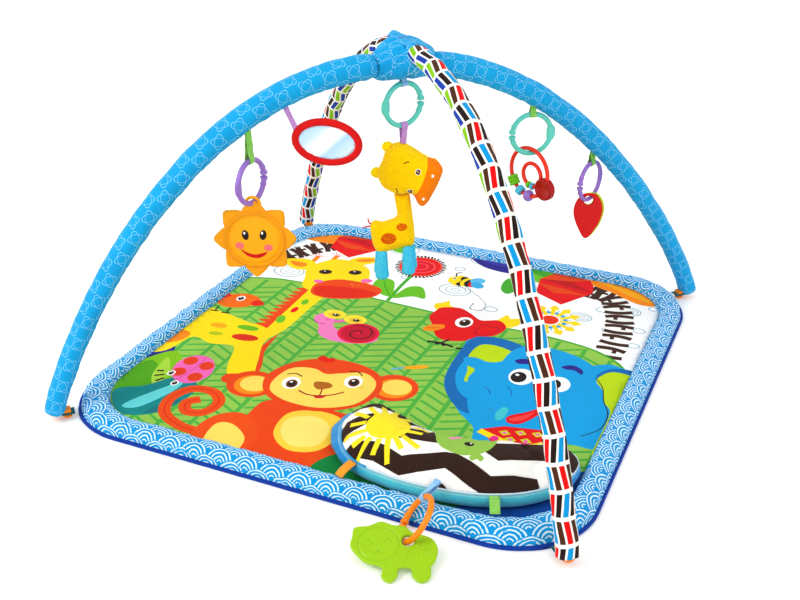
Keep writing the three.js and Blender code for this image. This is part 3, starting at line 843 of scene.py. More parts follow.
def scene_print():
    """The printed play scene, in millimetres from the mat's centre, back to front.

    Its points were read by eye off a perspective-corrected copy of the photo's mat, so it follows that art.
    """
    Y, YD, R, OR, O = (255, 224, 18), (250, 178, 26), (226, 32, 38), (230, 84, 28), (246, 150, 24)
    K, W, BR = (38, 22, 18), (255, 255, 255), (70, 38, 24)
    SKY, B2, NAVY, PINK = (2, 166, 222), (14, 116, 182), (48, 40, 140), (238, 118, 186)
    LEAF, LEAF2, LIME = (122, 196, 66), (84, 172, 62), (196, 220, 62)
    CREAM, GREY = (252, 222, 122), (170, 196, 204)
    A = []

    def add(colour, poly):
        A.append((np.asarray(poly, dtype=float), colour))

    def sp(*pts):
        return spline(pts)

    def eye(x, y, r, tilt=0, look=(0, 0), iris=(90, 52, 26)):
        add(W, ellipse(x, y, r, r * 1.25, tilt))
        add(iris, ellipse(x + look[0], y + look[1], r * 0.62, r * 0.82, tilt))
        add(K, ellipse(x + look[0], y + look[1], r * 0.4, r * 0.55, tilt))
        add(W, ellipse(x + look[0] - r * 0.2, y + look[1] + r * 0.3, r * 0.17))

    # white sky with pale rings of raindrops
    for x, y, r in [(-345, 190, 34), (5, 250, 34), (12, 405, 30), (118, 330, 30), (352, 300, 22), (-165,
        385, 34),
                    (270, 240, 22), (-20, 345, 12), (395, 330, 14), (160, 250, 16), (300, 285, 13),
                    (385, 230, 13), (-65, 330, 12), (70, 395, 10), (330, 210, 12), (388, 170, 12),
                    (100, 200, 14), (-380, 300, 14), (-110, 260, 9), (250, 130, 10), (180, 130, 9)]:
        add(GREY, ellipse(x, y, r, r * 0.78))
        add(W, ellipse(x, y, r - 2.6, r * 0.78 - 2.6))
        if r > 20:
            add((186, 206, 212), ellipse(x + 2, y, r * 0.66, r * 0.5))
            add(W, ellipse(x + 2, y, r * 0.66 - 2.4, r * 0.5 - 2.4))
            add((186, 206, 212), ellipse(x + 2, y, r * 0.3, r * 0.24))
            add(W, ellipse(x + 2, y, r * 0.3 - 2, r * 0.24 - 2))

    # zebra bows under the two fans
    for sweep in ([(-405, 232), (-382, 262), (-345, 315), (-298, 360)],
                  [(262, 352), (306, 338), (338, 270), (352, 190), (352, 100)]):
        path = spline(sweep, False, 8)
        add((250, 250, 246), stroke(sweep, 52))
        t = np.gradient(path, axis=0)
        t /= np.linalg.norm(t, axis=1)[:, None]
        nn = np.stack([-t[:, 1], t[:, 0]], axis=1)
        for i in range(0, len(path) - 1, 2):
            p, q = path[i] - nn[i] * 27, path[i] + nn[i] * 27
            m = path[i] + t[i] * (3.5 if i % 4 else -3.5)
            add(BR, stroke([p, m - nn[i] * 9, m + nn[i] * 9, q], 11.5))
            if i % 4 == 0:
                side = 8 if i % 8 else -8
                add(BR, stroke([m + nn[i] * side, m + nn[i] * side + t[i] * 15], 8, smooth=False))

    # the fans: orange wings, red folded gems, purple and green leaves
    def gem(x, y, w, h, turn):
        c, s = math.cos(math.radians(turn)), math.sin(math.radians(turn))

        def tr(pts):
            return [(x + a * w * c - b * h * s, y + a * w * s + b * h * c) for a, b in pts]

        add(R, tr([(-0.5, 0.15), (-0.32, 0.5), (0.36, 0.46), (0.5, 0.05), (0.16, -0.5), (-0.38, -0.3)]))
        add(OR, tr([(-0.5, 0.15), (-0.32, 0.5), (0.36, 0.46), (0.02, 0.28)]))
        add((196, 24, 34), tr([(-0.5, 0.15), (0.02, 0.28), (0.5, 0.05), (0.04, 0.08)]))
        add(OR, tr([(-0.5, 0.02), (0.04, 0.0), (0.44, -0.06), (-0.1, -0.2)]))

    add(O, sp((-414, 352), (-404, 394), (-360, 414), (-318, 420), (-300, 396), (-318, 352), (-360, 346),
              (-396, 350)))
    add(YD, sp((-404, 372), (-372, 400), (-330, 412), (-322, 396), (-360, 384), (-390, 362)))
    gem(-272, 364, 116, 124, -6)
    add(LEAF, sp((-206, 432), (-196, 380), (-168, 366), (-148, 384), (-152, 430)))
    add(NAVY, sp((-22, 424), (-10, 398), (30, 372), (84, 366), (124, 380), (124, 426), (60, 430)))
    add((70, 60, 170), sp((-14, 420), (20, 396), (70, 392), (110, 398), (100, 418), (40, 424)))
    add(LEAF, sp((96, 420), (150, 424), (186, 404), (170, 358), (132, 352), (112, 372)))
    add(LEAF2, sp((112, 412), (150, 404), (168, 384), (150, 380), (120, 392)))
    add((88, 178, 70), sp((88, 342), (104, 338), (122, 310), (110, 276), (92, 286), (84, 316)))
    gem(206, 344, 118, 136, -4)
    add(O, sp((250, 412), (256, 384), (300, 366), (356, 338), (392, 344), (378, 372), (330, 404), (280, 418)))
    add(YD, sp((262, 404), (300, 384), (350, 360), (384, 352), (360, 376), (310, 398)))

    # leafy ground
    hill = [(-430, -430), (430, -430), (430, 40), (404, 62), (373, 100), (318, 127), (227, 140), (110, 138),
            (0, 142), (-118, 148), (-228, 153), (-336, 150), (-414, 127), (-430, 118)]
    ground = np.array(hill, dtype=float)
    add((158, 202, 102), ground)
    ridge = np.array(sorted(hill[2:]))
    for poly, col in herringbone(-420, 420, -420, lambda x: np.interp(x, ridge[:, 0], ridge[:, 1])):
        add(col, poly)
    add(LEAF2, stroke([(-414, 127), (-336, 150), (-228, 153), (-118, 148), (0, 142), (110, 138), (227, 140),
                       (318, 127), (373, 100), (404, 62)], 5))

    # lower left leaves
    add(NAVY, sp((-414, -150), (-382, -172), (-372, -205), (-392, -250), (-414, -262)))
    add((140, 196, 60), sp((-380, -190), (-352, -196), (-316, -250), (-318, -330), (-352, -372), (-396, -362),
                           (-412, -318), (-414, -250)))
    add((96, 168, 50), sp((-396, -230), (-350, -262), (-340, -320), (-380, -350), (-406, -300)))
    add((176, 214, 90), sp((-372, -210), (-340, -250), (-336, -300), (-362, -270)))
    add((0, 140, 140), sp((-392, -340), (-352, -306), (-316, -258), (-276, -262), (-262, -300), (-284,
        -368), (-340, -392)))
    add((120, 214, 216), sp((-350, -372), (-330, -320), (-300, -272), (-296, -300), (-322, -366)))
    add((34, 120, 128), sp((-304, -374), (-284, -330), (-268, -318), (-280, -360)))

    # flower with a black fringe, on a stem
    add((88, 178, 70), stroke([(-100, 150), (-102, 230), (-99, 285)], 8))
    add(LEAF, sp((-104, 168), (-150, 188), (-158, 232), (-128, 238), (-110, 206)))
    add(LEAF, sp((-96, 166), (-62, 188), (-36, 190), (-58, 232), (-84, 226), (-94, 196)))
    add(LEAF2, stroke([(-104, 172), (-130, 205), (-142, 228)], 3))
    for i in range(40):
        a = i * 2 * PI / 40
        r1, r2 = 44, 53 + 2 * (i % 2)
        add(K, stroke([(-100 + r1 * math.cos(a), 321 + r1 * math.sin(a)),
                       (-100 + r2 * math.cos(a + 0.07), 321 + r2 * math.sin(a + 0.07))], 4.5, smooth=False))
    add((240, 90, 70), ellipse(-100, 321, 46))
    add(R, ellipse(-100, 321, 42))
    add((242, 96, 96), ellipse(-100, 321, 32))
    add((222, 30, 52), ellipse(-100, 321, 28))
    add((240, 90, 96), ellipse(-100, 321, 17))
    add((222, 30, 52), ellipse(-100, 321, 13))

    # giraffe
    add(OR, sp((-232, -56), (-222, -120), (-198, -176), (-196, -226), (-240, -238), (-240, -160)))
    add(Y, sp((-268, 150), (-226, 146), (-226, 60), (-228, -30), (-240, -90), (-214, -160), (-200, -206),
              (-240, -216), (-262, -180), (-284, -128), (-330, -136), (-372, -128), (-388, -190), (-418,
                  -190),
              (-418, -30), (-376, -22), (-330, -32), (-286, -36), (-278, 20), (-278, 90)))
    add(O, sp((-418, -118), (-384, -118), (-386, -150), (-418, -172)))
    add(OR, sp((-240, -214), (-200, -204), (-194, -230), (-228, -240), (-244, -234)))
    mane = [(-278, 136)]
    for i in range(11):
        mane += [(-294 - (i % 2) * 3, 124 - i * 16), (-276, 120 - i * 16)]
    add(OR, mane + [(-262, -44), (-266, 136)])
    for x, y, rx, ry, t, col in [(-247, 79, 7, 12, 10, LEAF), (-250, 42, 6, 12, 0, R), (-256, -2, 9, 15, 15,
        LEAF),
                                 (-352, -71, 17, 9, 8, YD), (-296, -57, 22, 9, 6, (120, 190, 60)),
                                 (-282, -91, 26, 12, 10, (214, 60, 30)), (-340, -100, 14, 7, 12,
                                     (186, 200, 60))]:
        add(col, ellipse(x, y, rx, ry, t))
    for x, y, t in ((-322, 285, 18), (-286, 304, -8)):
        add(O, stroke([(x + 2, y - 60), (x, y - 6)], 11, smooth=False))
        for k in range(5):
            a = math.radians(90 + t + (k - 2) * 38)
            add(OR, stroke([(x, y - 8), (x + 20 * math.cos(a), y - 8 + 20 * math.sin(a))], 9, taper=True))
    add(Y, sp((-310, 244), (-340, 258), (-382, 240), (-374, 222), (-336, 204), (-306, 218)))
    add(O, sp((-330, 238), (-366, 236), (-346, 218), (-326, 222)))
    add(Y, sp((-252, 284), (-240, 310), (-200, 326), (-186, 314), (-206, 288), (-232, 268)))
    add(O, sp((-240, 292), (-226, 308), (-200, 316), (-212, 296)))
    add(Y, sp((-306, 250), (-280, 282), (-236, 286), (-196, 266), (-176, 226), (-164, 186), (-190, 150),
              (-250, 128), (-286, 140), (-300, 176), (-316, 216)))
    add(OR, sp((-262, 168), (-232, 196), (-190, 204), (-150, 200), (-128, 184), (-134, 152), (-168, 130),
               (-216, 112), (-250, 116), (-264, 138)))
    add((222, 54, 26), sp((-258, 150), (-216, 168), (-160, 176), (-132, 166), (-160, 136), (-216, 116),
                          (-248, 122)))
    for x, y in ((-198, 188), (-184, 190), (-191, 182)):
        add(O, ellipse(x, y, 2.4))
    for x, y in ((-273, 217), (-215, 240)):
        add((120, 70, 20), ellipse(x, y, 14, 11, 20))
        add(K, ellipse(x, y, 11, 8.6, 20))
        add(W, ellipse(x - 3, y + 3, 2.2))
    add(PINK, ellipse(-266, 172, 10, 7, 12))
    add(PINK, ellipse(-176, 214, 12, 9, 16))

    # little orange bird
    add((240, 120, 36), sp((-414, 22), (-400, 48), (-372, 64), (-342, 60), (-330, 42), (-342, 16), (-372,
        0), (-400, 4)))
    add((232, 60, 40), sp((-414, 22), (-416, 46), (-404, 52), (-396, 44), (-404, 30)))
    add((226, 50, 36), sp((-334, 50), (-316, 38), (-330, 24), (-344, 34)))
    eye(-372, 42, 9)
    for x in (-394, -368):
        add(K, stroke([(x, -2), (x + 2, -22)], 3, smooth=False))
        add(K, stroke([(x - 8, -24), (x + 10, -22)], 4, smooth=False))

    # snail
    add((240, 140, 196), sp((-200, 28), (-196, 50), (-172, 56), (-160, 40), (-150, 14), (-118, -4), (-80,
        0), (-54, 6),
                 (-58, -14), (-92, -32), (-134, -36), (-164, -22), (-178, 6)))
    add((206, 82, 160), stroke([(-196, 22), (-184, 14), (-170, 16)], 3))
    for x, y, bx in ((-170, 58, -174), (-124, 54, -158)):
        add(PINK, stroke([(x, y), (bx, 30)], 10, smooth=False))
        add((250, 232, 96), ellipse(x, y, 23, 18))
        add((236, 206, 84), ellipse(x + 2, y - 3, 14, 10))
        add(K, ellipse(x + 3, y - 2, 7, 5))
        add(W, ellipse(x + 1, y, 1.8))
    add((230, 40, 80), ellipse(-95, 8, 40, 38))
    add((200, 24, 60), ellipse(-95, 8, 34, 32))
    spiral = [(-95 + r * math.cos(a), 8 + r * math.sin(a)) for r, a in
              [(4 + 2.0 * k, 0.62 * k) for k in range(15)]]
    add((120, 12, 34), stroke(spiral, 3.4))
    add((232, 48, 86), ellipse(-95, 8, 3))

    # bee
    for k, col in enumerate((Y, K, Y, K, R)):
        add(col, sp(*[(-8 + k * 9 + a, 292 + k * -1 + b) for a, b in
                      ((0, 24 - k * 2), (14, 20 - k * 2), (16, 0), (12, -20 + k * 3), (0, -22 + k * 2), (-8,
                          0))]))
    add(Y, ellipse(-12, 292, 13, 17))
    eye(-14, 298, 4)
    add((110, 196, 236), ellipse(34, 306, 16, 13, 30))
    add((80, 178, 226), ellipse(40, 286, 15, 12, -30))
    add(K, stroke([(-14, 308), (-18, 322), (-10, 330)], 3))
    dots = spline([(6, 268), (36, 258), (60, 240), (84, 214), (84, 188), (62, 186), (60, 208)], False, 5)
    for p in dots:
        add((110, 110, 110), ellipse(p[0], p[1], 1.7, n=8))

    # sunflower
    add(LEAF2, stroke([(210, 190), (206, 160), (212, 140)], 4))
    for i in range(12):
        a = i * 2 * PI / 12 + 0.1
        c, s = math.cos(a), math.sin(a)
        add(Y, stroke([(218 + 20 * c, 205 + 20 * s), (218 + 46 * c, 205 + 46 * s)], 9, smooth=False))
        add(Y, [(218 + 44 * c - 10 * s, 205 + 44 * s + 10 * c), (218 + 52 * c - 8 * s, 205 + 52 * s + 8 * c),
                (218 + 62 * c, 205 + 62 * s), (218 + 52 * c + 8 * s, 205 + 52 * s - 8 * c),
                (218 + 44 * c + 10 * s, 205 + 44 * s - 10 * c)])
        b = a + PI / 12
        add((40, 160, 220), ellipse(218 + 30 * math.cos(b), 205 + 30 * math.sin(b), 4.6))
        add((120, 190, 220), stroke([(218 + 30 * math.cos(b), 205 + 30 * math.sin(b)),
                                     (218 + 42 * math.cos(b), 205 + 42 * math.sin(b))], 2, smooth=False))
    add((232, 66, 40), ellipse(218, 205, 17))

    # red bird
    add(Y, sp((-8, 178), (-2, 160), (24, 148), (44, 156), (36, 176), (20, 184), (14, 200), (2, 186)))
    add(Y, sp((120, 140), (128, 168), (138, 190), (148, 178), (164, 184), (170, 160), (150, 138)))
    add(R, sp((4, 150), (10, 168), (44, 180), (72, 166), (98, 150), (130, 162), (152, 140), (144, 106),
              (118, 84), (96, 62), (64, 50), (40, 60), (22, 92), (2, 122)))
    add((206, 22, 40), sp((100, 120), (112, 140), (124, 134), (138, 140), (144, 120), (126, 96), (106, 92)))
    add(R, sp((106, 120), (114, 134), (124, 128), (136, 132), (138, 118), (124, 102), (110, 98)))
    eye(71, 129, 17, 0, (2, -1))
    add(O, sp((14, 92), (38, 104), (44, 92), (30, 74), (10, 70)))
    add((206, 110, 20), stroke([(14, 80), (38, 90)], 2.5, smooth=False))
    for x0, x1, y1 in ((70, 60, 34), (108, 118, 32)):
        add(K, stroke([(x0, 56), (x1, y1 + 4)], 4.5, smooth=False))
        for a in (-26, -8, 10, 26):
            add(K, stroke([(x1, y1 + 4), (x1 + a, y1 - 6 + abs(a) * 0.2)], 6, smooth=False))

    # feather
    add(YD, sp((24, -76), (44, -58), (66, -48), (72, -54), (52, -68)))
    add((120, 180, 220), stroke([(14, -84), (34, -70)], 5, smooth=False))

    # monkey
    def ear(x, y, r):
        add(OR, ellipse(x, y, r, r * 0.96))
        add(O, ellipse(x + 2, y - 2, r * 0.72, r * 0.7))
        add(CREAM, ellipse(x + 5, y + 3, r * 0.6, r * 0.56))

    tail = [(-180, -386), (-226, -384), (-272, -362), (-288, -320), (-270, -282), (-232, -276), (-206, -300),
            (-212, -334), (-240, -344), (-256, -322), (-240, -304)]
    add((230, 90, 30), stroke(tail, 21))
    add((222, 60, 24), stroke(tail, 3))
    add(OR, sp((-136, -262), (-60, -246), (60, -252), (112, -300), (120, -400), (90, -432), (-176, -432),
               (-184, -380), (-146, -330)))
    add((230, 92, 32), sp((-186, -330), (-150, -312), (-104, -340), (-96, -400), (-130, -430), (-186, -420),
                          (-200, -372)))
    add(CREAM, sp((-176, -356), (-150, -346), (-112, -372), (-108, -412), (-140, -426), (-170, -404)))
    add((230, 92, 32), sp((12, -352), (60, -340), (104, -372), (92, -420), (40, -430), (8, -400)))
    add((252, 190, 60), sp((30, -372), (62, -360), (92, -384), (80, -418), (44, -420), (28, -398)))
    add((252, 214, 96), sp((-84, -282), (-44, -256), (6, -262), (22, -306), (10, -356), (-36, -372), (-78,
        -340)))
    add((255, 232, 140), sp((-76, -296), (-40, -272), (-2, -290), (4, -340), (-34, -360), (-68, -334)))
    ear(-186, -227, 44)
    ear(43, -139, 44)
    add(OR, sp((-176, -196), (-160, -140), (-118, -104), (-70, -92), (-20, -98), (14, -122), (28, -168),
               (10, -220), (-40, -256), (-100, -262), (-150, -244)))
    add((226, 46, 30), sp((-122, -104), (-116, -92), (-104, -96), (-94, -92), (-90, -104), (-104, -112)))
    add(CREAM, sp((-158, -196), (-148, -152), (-112, -138), (-84, -146), (-60, -134), (-24, -116), (6, -132),
                  (16, -166), (4, -214), (-44, -246), (-102, -250), (-146, -232)))
    eye(-125, -196, 16, 15, (2, -2), (112, 56, 30))
    eye(-28, -150, 16, 15, (2, -2), (112, 56, 30))
    add(BR, stroke([(-146, -174), (-132, -166), (-118, -170)], 2.6))
    add(BR, stroke([(-50, -122), (-34, -118), (-22, -126)], 2.6))
    add((178, 112, 44), sp((-88, -176), (-66, -170), (-54, -180), (-70, -196), (-84, -190)))
    add((150, 30, 36), stroke([(-102, -212), (-82, -218), (-60, -213), (-40, -200), (-28, -186)], 3.2))
    add((150, 30, 36), stroke([(-66, -194), (-61, -213)], 2.4, smooth=False))
    add((206, 40, 50), sp((-70, -217), (-59, -214), (-50, -208), (-54, -218), (-64, -222)))

    # ladybird
    add(PINK, ellipse(-306, -226, 37, 48, 18))
    for x, y in ((-326, -204), (-290, -208), (-324, -244), (-288, -248)):
        add((224, 74, 44), ellipse(x, y, 13, 14, 20))
    add((214, 80, 150), stroke([(-306, -182), (-305, -226), (-312, -270)], 1.8))
    eye(-334, -253, 7)
    eye(-309, -279, 7)
    for p in (((-342, -262), (-356, -272)), ((-336, -272), (-344, -286)), ((-350, -252), (-362, -256))):
        add(K, stroke(list(p), 4.5, smooth=False))

    # elephant
    add(SKY, sp((102, 70), (112, 20), (110, -40), (128, -100), (170, -160), (210, -196), (224, -236), (262,
        -248),
                (300, -206), (360, -180), (414, -170), (430, -90), (420, -20), (414, 60), (370, 88), (330,
                    70),
                (290, 92), (240, 98), (200, 88), (150, 96)))
    add(B2, sp((104, 64), (124, 92), (170, 96), (206, 84), (200, 60), (160, 66), (130, 30), (122, -40),
               (150, -104), (206, -138), (214, -160), (170, -156), (124, -104), (106, -40)))
    add(LIME, sp((126, 52), (144, 68), (180, 64), (196, 50), (190, 20), (176, -8), (166, -34), (158, -60),
                 (146, -68), (138, -30), (124, 6)))
    add(SKY, sp((118, 6), (138, 14), (158, 8), (176, 12), (196, 30), (232, 40), (236, -40), (216, -100),
                (172, -96), (150, -60), (150, -26), (130, -16)))
    add(SKY, sp((190, 60), (214, 96), (262, 100), (300, 92), (336, 72), (366, 30), (378, -20), (402, -60),
                (402, -120), (370, -160), (316, -170), (280, -168), (250, -190), (226, -214), (200, -176),
                (172, -120), (176, -60), (184, 0)))
    add(B2, sp((352, 40), (368, 72), (404, 82), (420, 60), (420, 40), (392, 56), (368, 36)))
    add(LIME, sp((356, 26), (370, 60), (400, 66), (418, 50), (424, -60), (414, -170), (404, -190), (404,
        -120),
                 (402, -62), (384, -36), (374, -2)))
    add((170, 204, 60), stroke([(398, 40), (404, -20), (408, -110)], 3))
    add(K, stroke([(352, 34), (372, 6), (384, -34), (400, -70), (400, -116), (376, -150)], 1.8))
    eye(233, -16, 22, 4, (-4, -3), (30, 20, 16))
    eye(300, -14, 20, 4, (-8, -3), (30, 20, 16))
    add(NAVY, sp((206, 34), (222, 46), (244, 40), (256, 28), (232, 30), (214, 24)))
    add(NAVY, sp((288, 46), (304, 58), (324, 50), (328, 34), (312, 42), (296, 40)))
    add(R, sp((252, -142), (276, -118), (300, -92), (294, -124), (276, -156), (256, -160)))
    add((240, 80, 80), sp((256, -146), (276, -128), (288, -112), (280, -140), (262, -154)))
    add((90, 200, 210), sp((236, -120), (246, -124), (246, -154), (236, -160), (230, -140)))
    add(B2, stroke([(184, -72), (196, -80), (202, -92)], 2.2))
    add(B2, stroke([(222, -58), (232, -68), (236, -80)], 2.2))
    add((224, 40, 40), [(222, -196), (256, -172), (320, -158), (352, -176), (346, -204), (300, -214), (250,
        -222)])
    for x, y in ((262, -190), (286, -180), (312, -174), (336, -182), (300, -198), (276, -204)):
        add((206, 220, 70), ellipse(x, y, 10, 8, n=4))
        add(PINK, ellipse(x, y, 5, 4, n=4))
    add(Y, stroke([(222, -200), (262, -212), (304, -222), (352, -210)], 13))
    for x, y in ((252, -211), (300, -221), (334, -215)):
        add((230, 60, 150), ellipse(x, y, 7))
    # dark pools at the front, under the pillow
    add((0, 140, 74), sp((20, -390), (60, -340), (180, -330), (300, -340), (330, -430), (160, -440), (40,
        -436)))
    add((24, 84, 160), sp((250, -404), (290, -372), (350, -330), (392, -250), (430, -250), (430, -430),
                          (240, -430)))
    return A


def printed_panel():
    outline = resample(mat_outline(BORDER_W + 0.3, 16), 10.0, True)

    def top(p, d):
        z = np.array([noise.noise(Vector((x * 0.012, y * 0.012, 0.4))) for x, y in p])
        z2 = np.array([noise.noise(Vector((x * 0.045, y * 0.045, 7.4))) for x, y in p])
        return 11.9 + 0.55 * z + 0.3 * z2 - 0.5 * np.exp(-d / 12)

    mat = print_cloth("scene_print")
    obj = plate("printed_panel", outline, scene_print(), (255, 255, 255), 13.0, top,
                lambda p, d: np.full(len(p), 3.2), Matrix.Identity(4), mat, "mat",
                ["mat_print_panel", "mat_wadding"], "print_fabric", back=(255, 255, 255))
    ride(obj)


# ---- arches -------------------------------------------------------------------------------------
def knot_material():
    """Blue cloth with pale dashed knots of two crossing ovals."""
    m = Mat("blue_knot_cloth", 0.75, 0.1, specular=0.3)
    u, v = m.uv()
    pitch, rows = 0.040, 6
    row = (v * float(rows)).floor()
    x = ((u / pitch + row.mod(2.0) * 0.5).fract() - 0.5) * pitch
    y = ((v * float(rows)).fract() - 0.5) * 0.0215
    ink = None
    for k in range(2):
        a = math.radians(90 * k + 45)
        p = x * math.cos(a) + y * math.sin(a)
        q = y * math.cos(a) - x * math.sin(a)
        r = (p / 0.0124).hypot(q / 0.0068)
        line = (r - 1.0).abs().lt(0.05)
        ang = q.math("ARCTAN2", p) * (22 / (2 * PI))
        dash = ang.fract().gt(0.25)
        part = line * dash
        ink = part if ink is None else ink.max(part)
    blue = m.mix(m.noise(14.0, 2.0), lin((0, 156, 210)), lin((22, 178, 228)))
    m.base(m.vary(m.mix(ink * 0.75, blue, lin((190, 232, 252))), 0.05, 45.0))
    weave(m)
    m.bump(m.noise(75.0, 3.0), 0.45, 0.003)
    return m.done()


def brick_material():
    """White cloth with rows of slanting coloured bricks, leaning the other way in each next row."""
    m = Mat("brick_cloth", 0.8, 0.05, specular=0.25)
    u, v = m.uv()
    pitch, count = 0.0375, 9
    wob = m.noise(70.0, 1.0) * 0.06
    row = (u / pitch).floor()
    fu = (u / pitch + wob * 0.5).fract()
    parity = row.mod(2.0)
    lean = (parity * 2.0 - 1.0) * (fu - 0.5) * 0.55
    t = v * float(count) + lean + wob - u * 3.8
    tile = t.floor().mod(float(count))
    fv = t.fract()
    mask = fu.gt(0.09) * fu.lt(0.93) * fv.gt(0.15) * fv.lt(0.86)
    dark, brown = lin((40, 22, 16)), lin((84, 48, 28))
    red, sky, royal, lime = (lin(c) for c in (
        (226, 30, 36), (44, 160, 216), (28, 70, 168), (146, 200, 60)))
    even = [sky, dark, red, brown, lime, royal, dark, red, dark]
    odd = [red, brown, sky, dark, royal, lime, dark, sky, brown]
    n = 2 * count
    stops = [(i / n, (even + odd)[i]) for i in range(n)]
    index = (tile + parity * float(count) + 0.5) * (1.0 / n)
    ink = m.ramp(index, stops)
    m.base(m.vary(m.mix(mask, lin((250, 248, 242)), ink), 0.05, 45.0))
    weave(m)
    m.bump(m.noise(85.0, 3.0), 0.45, 0.0028)
    return m.done()


def sleeve(name, arch, side, material, node, slot, twist=0.0, seed=0.0):
    s_in, s_out = 0.051, 0.9983 * HALF_SPAN
    s = np.concatenate([np.linspace(s_in, 0.45, 300), np.linspace(0.451, 0.6, 300), np.linspace(0.6003,
        s_out, 400)])
    path = np.array([arch_point(arch, side * x) for x in s])
    path = resample(path, 0.0042)
    a = math.radians(arch["turn"])
    across = np.array([-math.sin(a), math.cos(a), 0])
    n, sides = len(path), 44
    tangent = np.gradient(path, axis=0)
    tangent /= np.linalg.norm(tangent, axis=1)[:, None]
    over = np.cross(tangent, across) * side
    along = np.concatenate([[0], np.cumsum(np.linalg.norm(np.diff(path, axis=0), axis=1))])
    R = arch["r"]
    rings = np.zeros((n, sides, 3))
    angles = np.arange(sides) * 2 * PI / sides
    for i in range(n):
        t = along[i] / along[-1]
        radius = R * (1.0 - 0.14 * t**1.5) if R > 0.018 else R * (0.93 + 0.05 * t)
        hem = min(1.0, (along[-1] - along[i]) / 0.012)
        hem0 = min(1.0, along[i] / 0.016)
        radius *= 0.80 + 0.20 * math.sqrt(max(hem0, 0.0))
        for j, g in enumerate(angles):
            c, sn = math.cos(g), math.sin(g)
            q = Vector((along[i] * 26, c * 1.3 + seed, sn * 1.3))
            fold = noise.noise(q) * 0.0011 + noise.noise(q * 2.7) * 0.0005
            ring_crease = noise.noise(Vector((along[i] * 95, c * 0.8 + seed * 2, sn * 0.8))) * 0.0007
            under = max(0.0, -sn)
            r = radius + fold + ring_crease * (0.6 + 1.4 * under)
            flat = 1.0 - 0.10 * t * abs(sn)
            rings[i, j] = path[i] + (across * c + over[i] * sn * flat) * r
            if hem < 1:
                rings[i, j] += tangent[i] * 0.0015 * noise.noise(Vector((g * 1.7, seed, 4)))
    # turned-in hem at the foot end, and at the hub end
    tail = []
    for shrink, back in ((0.95, 0.0012), (0.86, 0.0005), (0.84, -0.006), (0.84, -0.02)):
        c = rings[-1].mean(0)
        tail.append(c + (rings[-1] - c) * shrink + tangent[-1] * back)
    lead = []
    for shrink, back in ((0.84, 0.02), (0.86, 0.003), (0.95, -0.0012)):
        c = rings[0].mean(0)
        lead.append(c + (rings[0] - c) * shrink + tangent[0] * back)
    rings = np.concatenate([lead, rings, tail])
    extra = np.concatenate([[along[0]] * 3, along, [along[-1] + 0.002 * k for k in range(1, 5)],
                            [along[-1] + 0.01]])
    verts, faces, uv = loft(rings, scale_u=extra)
    uv = [(u, v + twist) for u, v in uv]
    obj = piece(name, verts, faces, material, "blue_arch" if arch is BLUE else "striped_arch", [node], slot,
                uv=uv)
    HANG.append(BVHTree.FromPolygons([v.co for v in obj.data.vertices],
                                     [p.vertices[:] for p in obj.data.polygons]))
    ride(obj)
    return obj


HANG = []


def reach(start, direction, spare=2.5):
    """Distance in millimetres from a point to the underside of the sleeves and wrap above it."""
    hits = [tree.ray_cast(Vector(start), Vector(direction)) for tree in HANG]
    found = [h[3] for h in hits if h[0] is not None]
    return (min(found) * 1000 + spare) if found else None


def arches():
    knots, bricks = knot_material(), brick_material()
    sleeve("blue_sleeve_left", BLUE, -1, knots, "sleeve_blue_left", "sleeve_blue_fabric", 0.1, 3.0)
    sleeve("blue_sleeve_right", BLUE, 1, knots, "sleeve_blue_right", "sleeve_blue_fabric", 0.1, 8.0)
    sleeve("striped_sleeve_front", STRIPED, 1, bricks, "sleeve_striped_front", "sleeve_striped_fabric",
           0.1111, 15.0)
    sleeve("striped_sleeve_back", STRIPED, -1, bricks, "sleeve_striped_back", "sleeve_striped_fabric", 0.0,
           21.0)

    # soft wrap over the hub, gathered round the four arms
    rings = []
    steps, sides = 56, 132
    for i in range(steps + 1):
        t = i / steps
        ang = PI * (t - 0.5)
        row = []
        for j in range(sides):
            a = 2 * PI * j / sides
            arm_b = max(0.0, math.cos(2 * (a - PI / 4))) ** 4
            arm_s = max(0.0, math.cos(2 * (a + PI / 4))) ** 6
            arm = max(arm_b, arm_s)
            pleat = math.sin(30 * a + 5 * noise.noise(Vector((a * 2, t * 5, 1)))) * 0.0008 * math.cos(ang)
            ce = abs(math.cos(ang)) ** (0.62 - 0.34 * arm)
            rad = 0.0425 + 0.0135 * arm_b + 0.0145 * arm_s + pleat
            zc = 0.5460 + (0.0135 * arm_s - 0.0105 * arm_b) * ce
            zh = 0.0325 - (0.0095 * arm_s + 0.0070 * arm_b) * ce
            up = math.copysign(abs(math.sin(ang)) ** 0.85, math.sin(ang))
            p = Vector((math.cos(a) * rad * ce, math.sin(a) * rad * ce, zc + zh * up))
            w = 1 + 0.03 * noise.noise(p * 60) + 0.018 * noise.noise(p * 150)
            crease = 0.0011 * noise.noise(p * 90) + 0.0006 * noise.noise(p * 210)
            row.append((p.x * w, p.y * w, min(max(p.z + crease, 0.5125), 0.5868)))
        rings.append(row)
    verts, faces, uv = loft(rings, scale_u=[i * 0.0026 for i in range(steps + 2)])
    uv = []
    for f in faces:
        for k in f:
            x, y, z = verts[k]
            uv.append(((x + y) * 0.7071, ((y - x) * 0.7071 + z * 1.2) / 0.132))
    wrap = piece("hub_wrap", verts, faces, knots, "blue_arch", ["hub_cover"], "sleeve_blue_fabric", uv=uv)
    HANG.append(BVHTree.FromPolygons([v.co for v in wrap.data.vertices],
                                     [p.vertices[:] for p in wrap.data.polygons]))
    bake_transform(wrap)


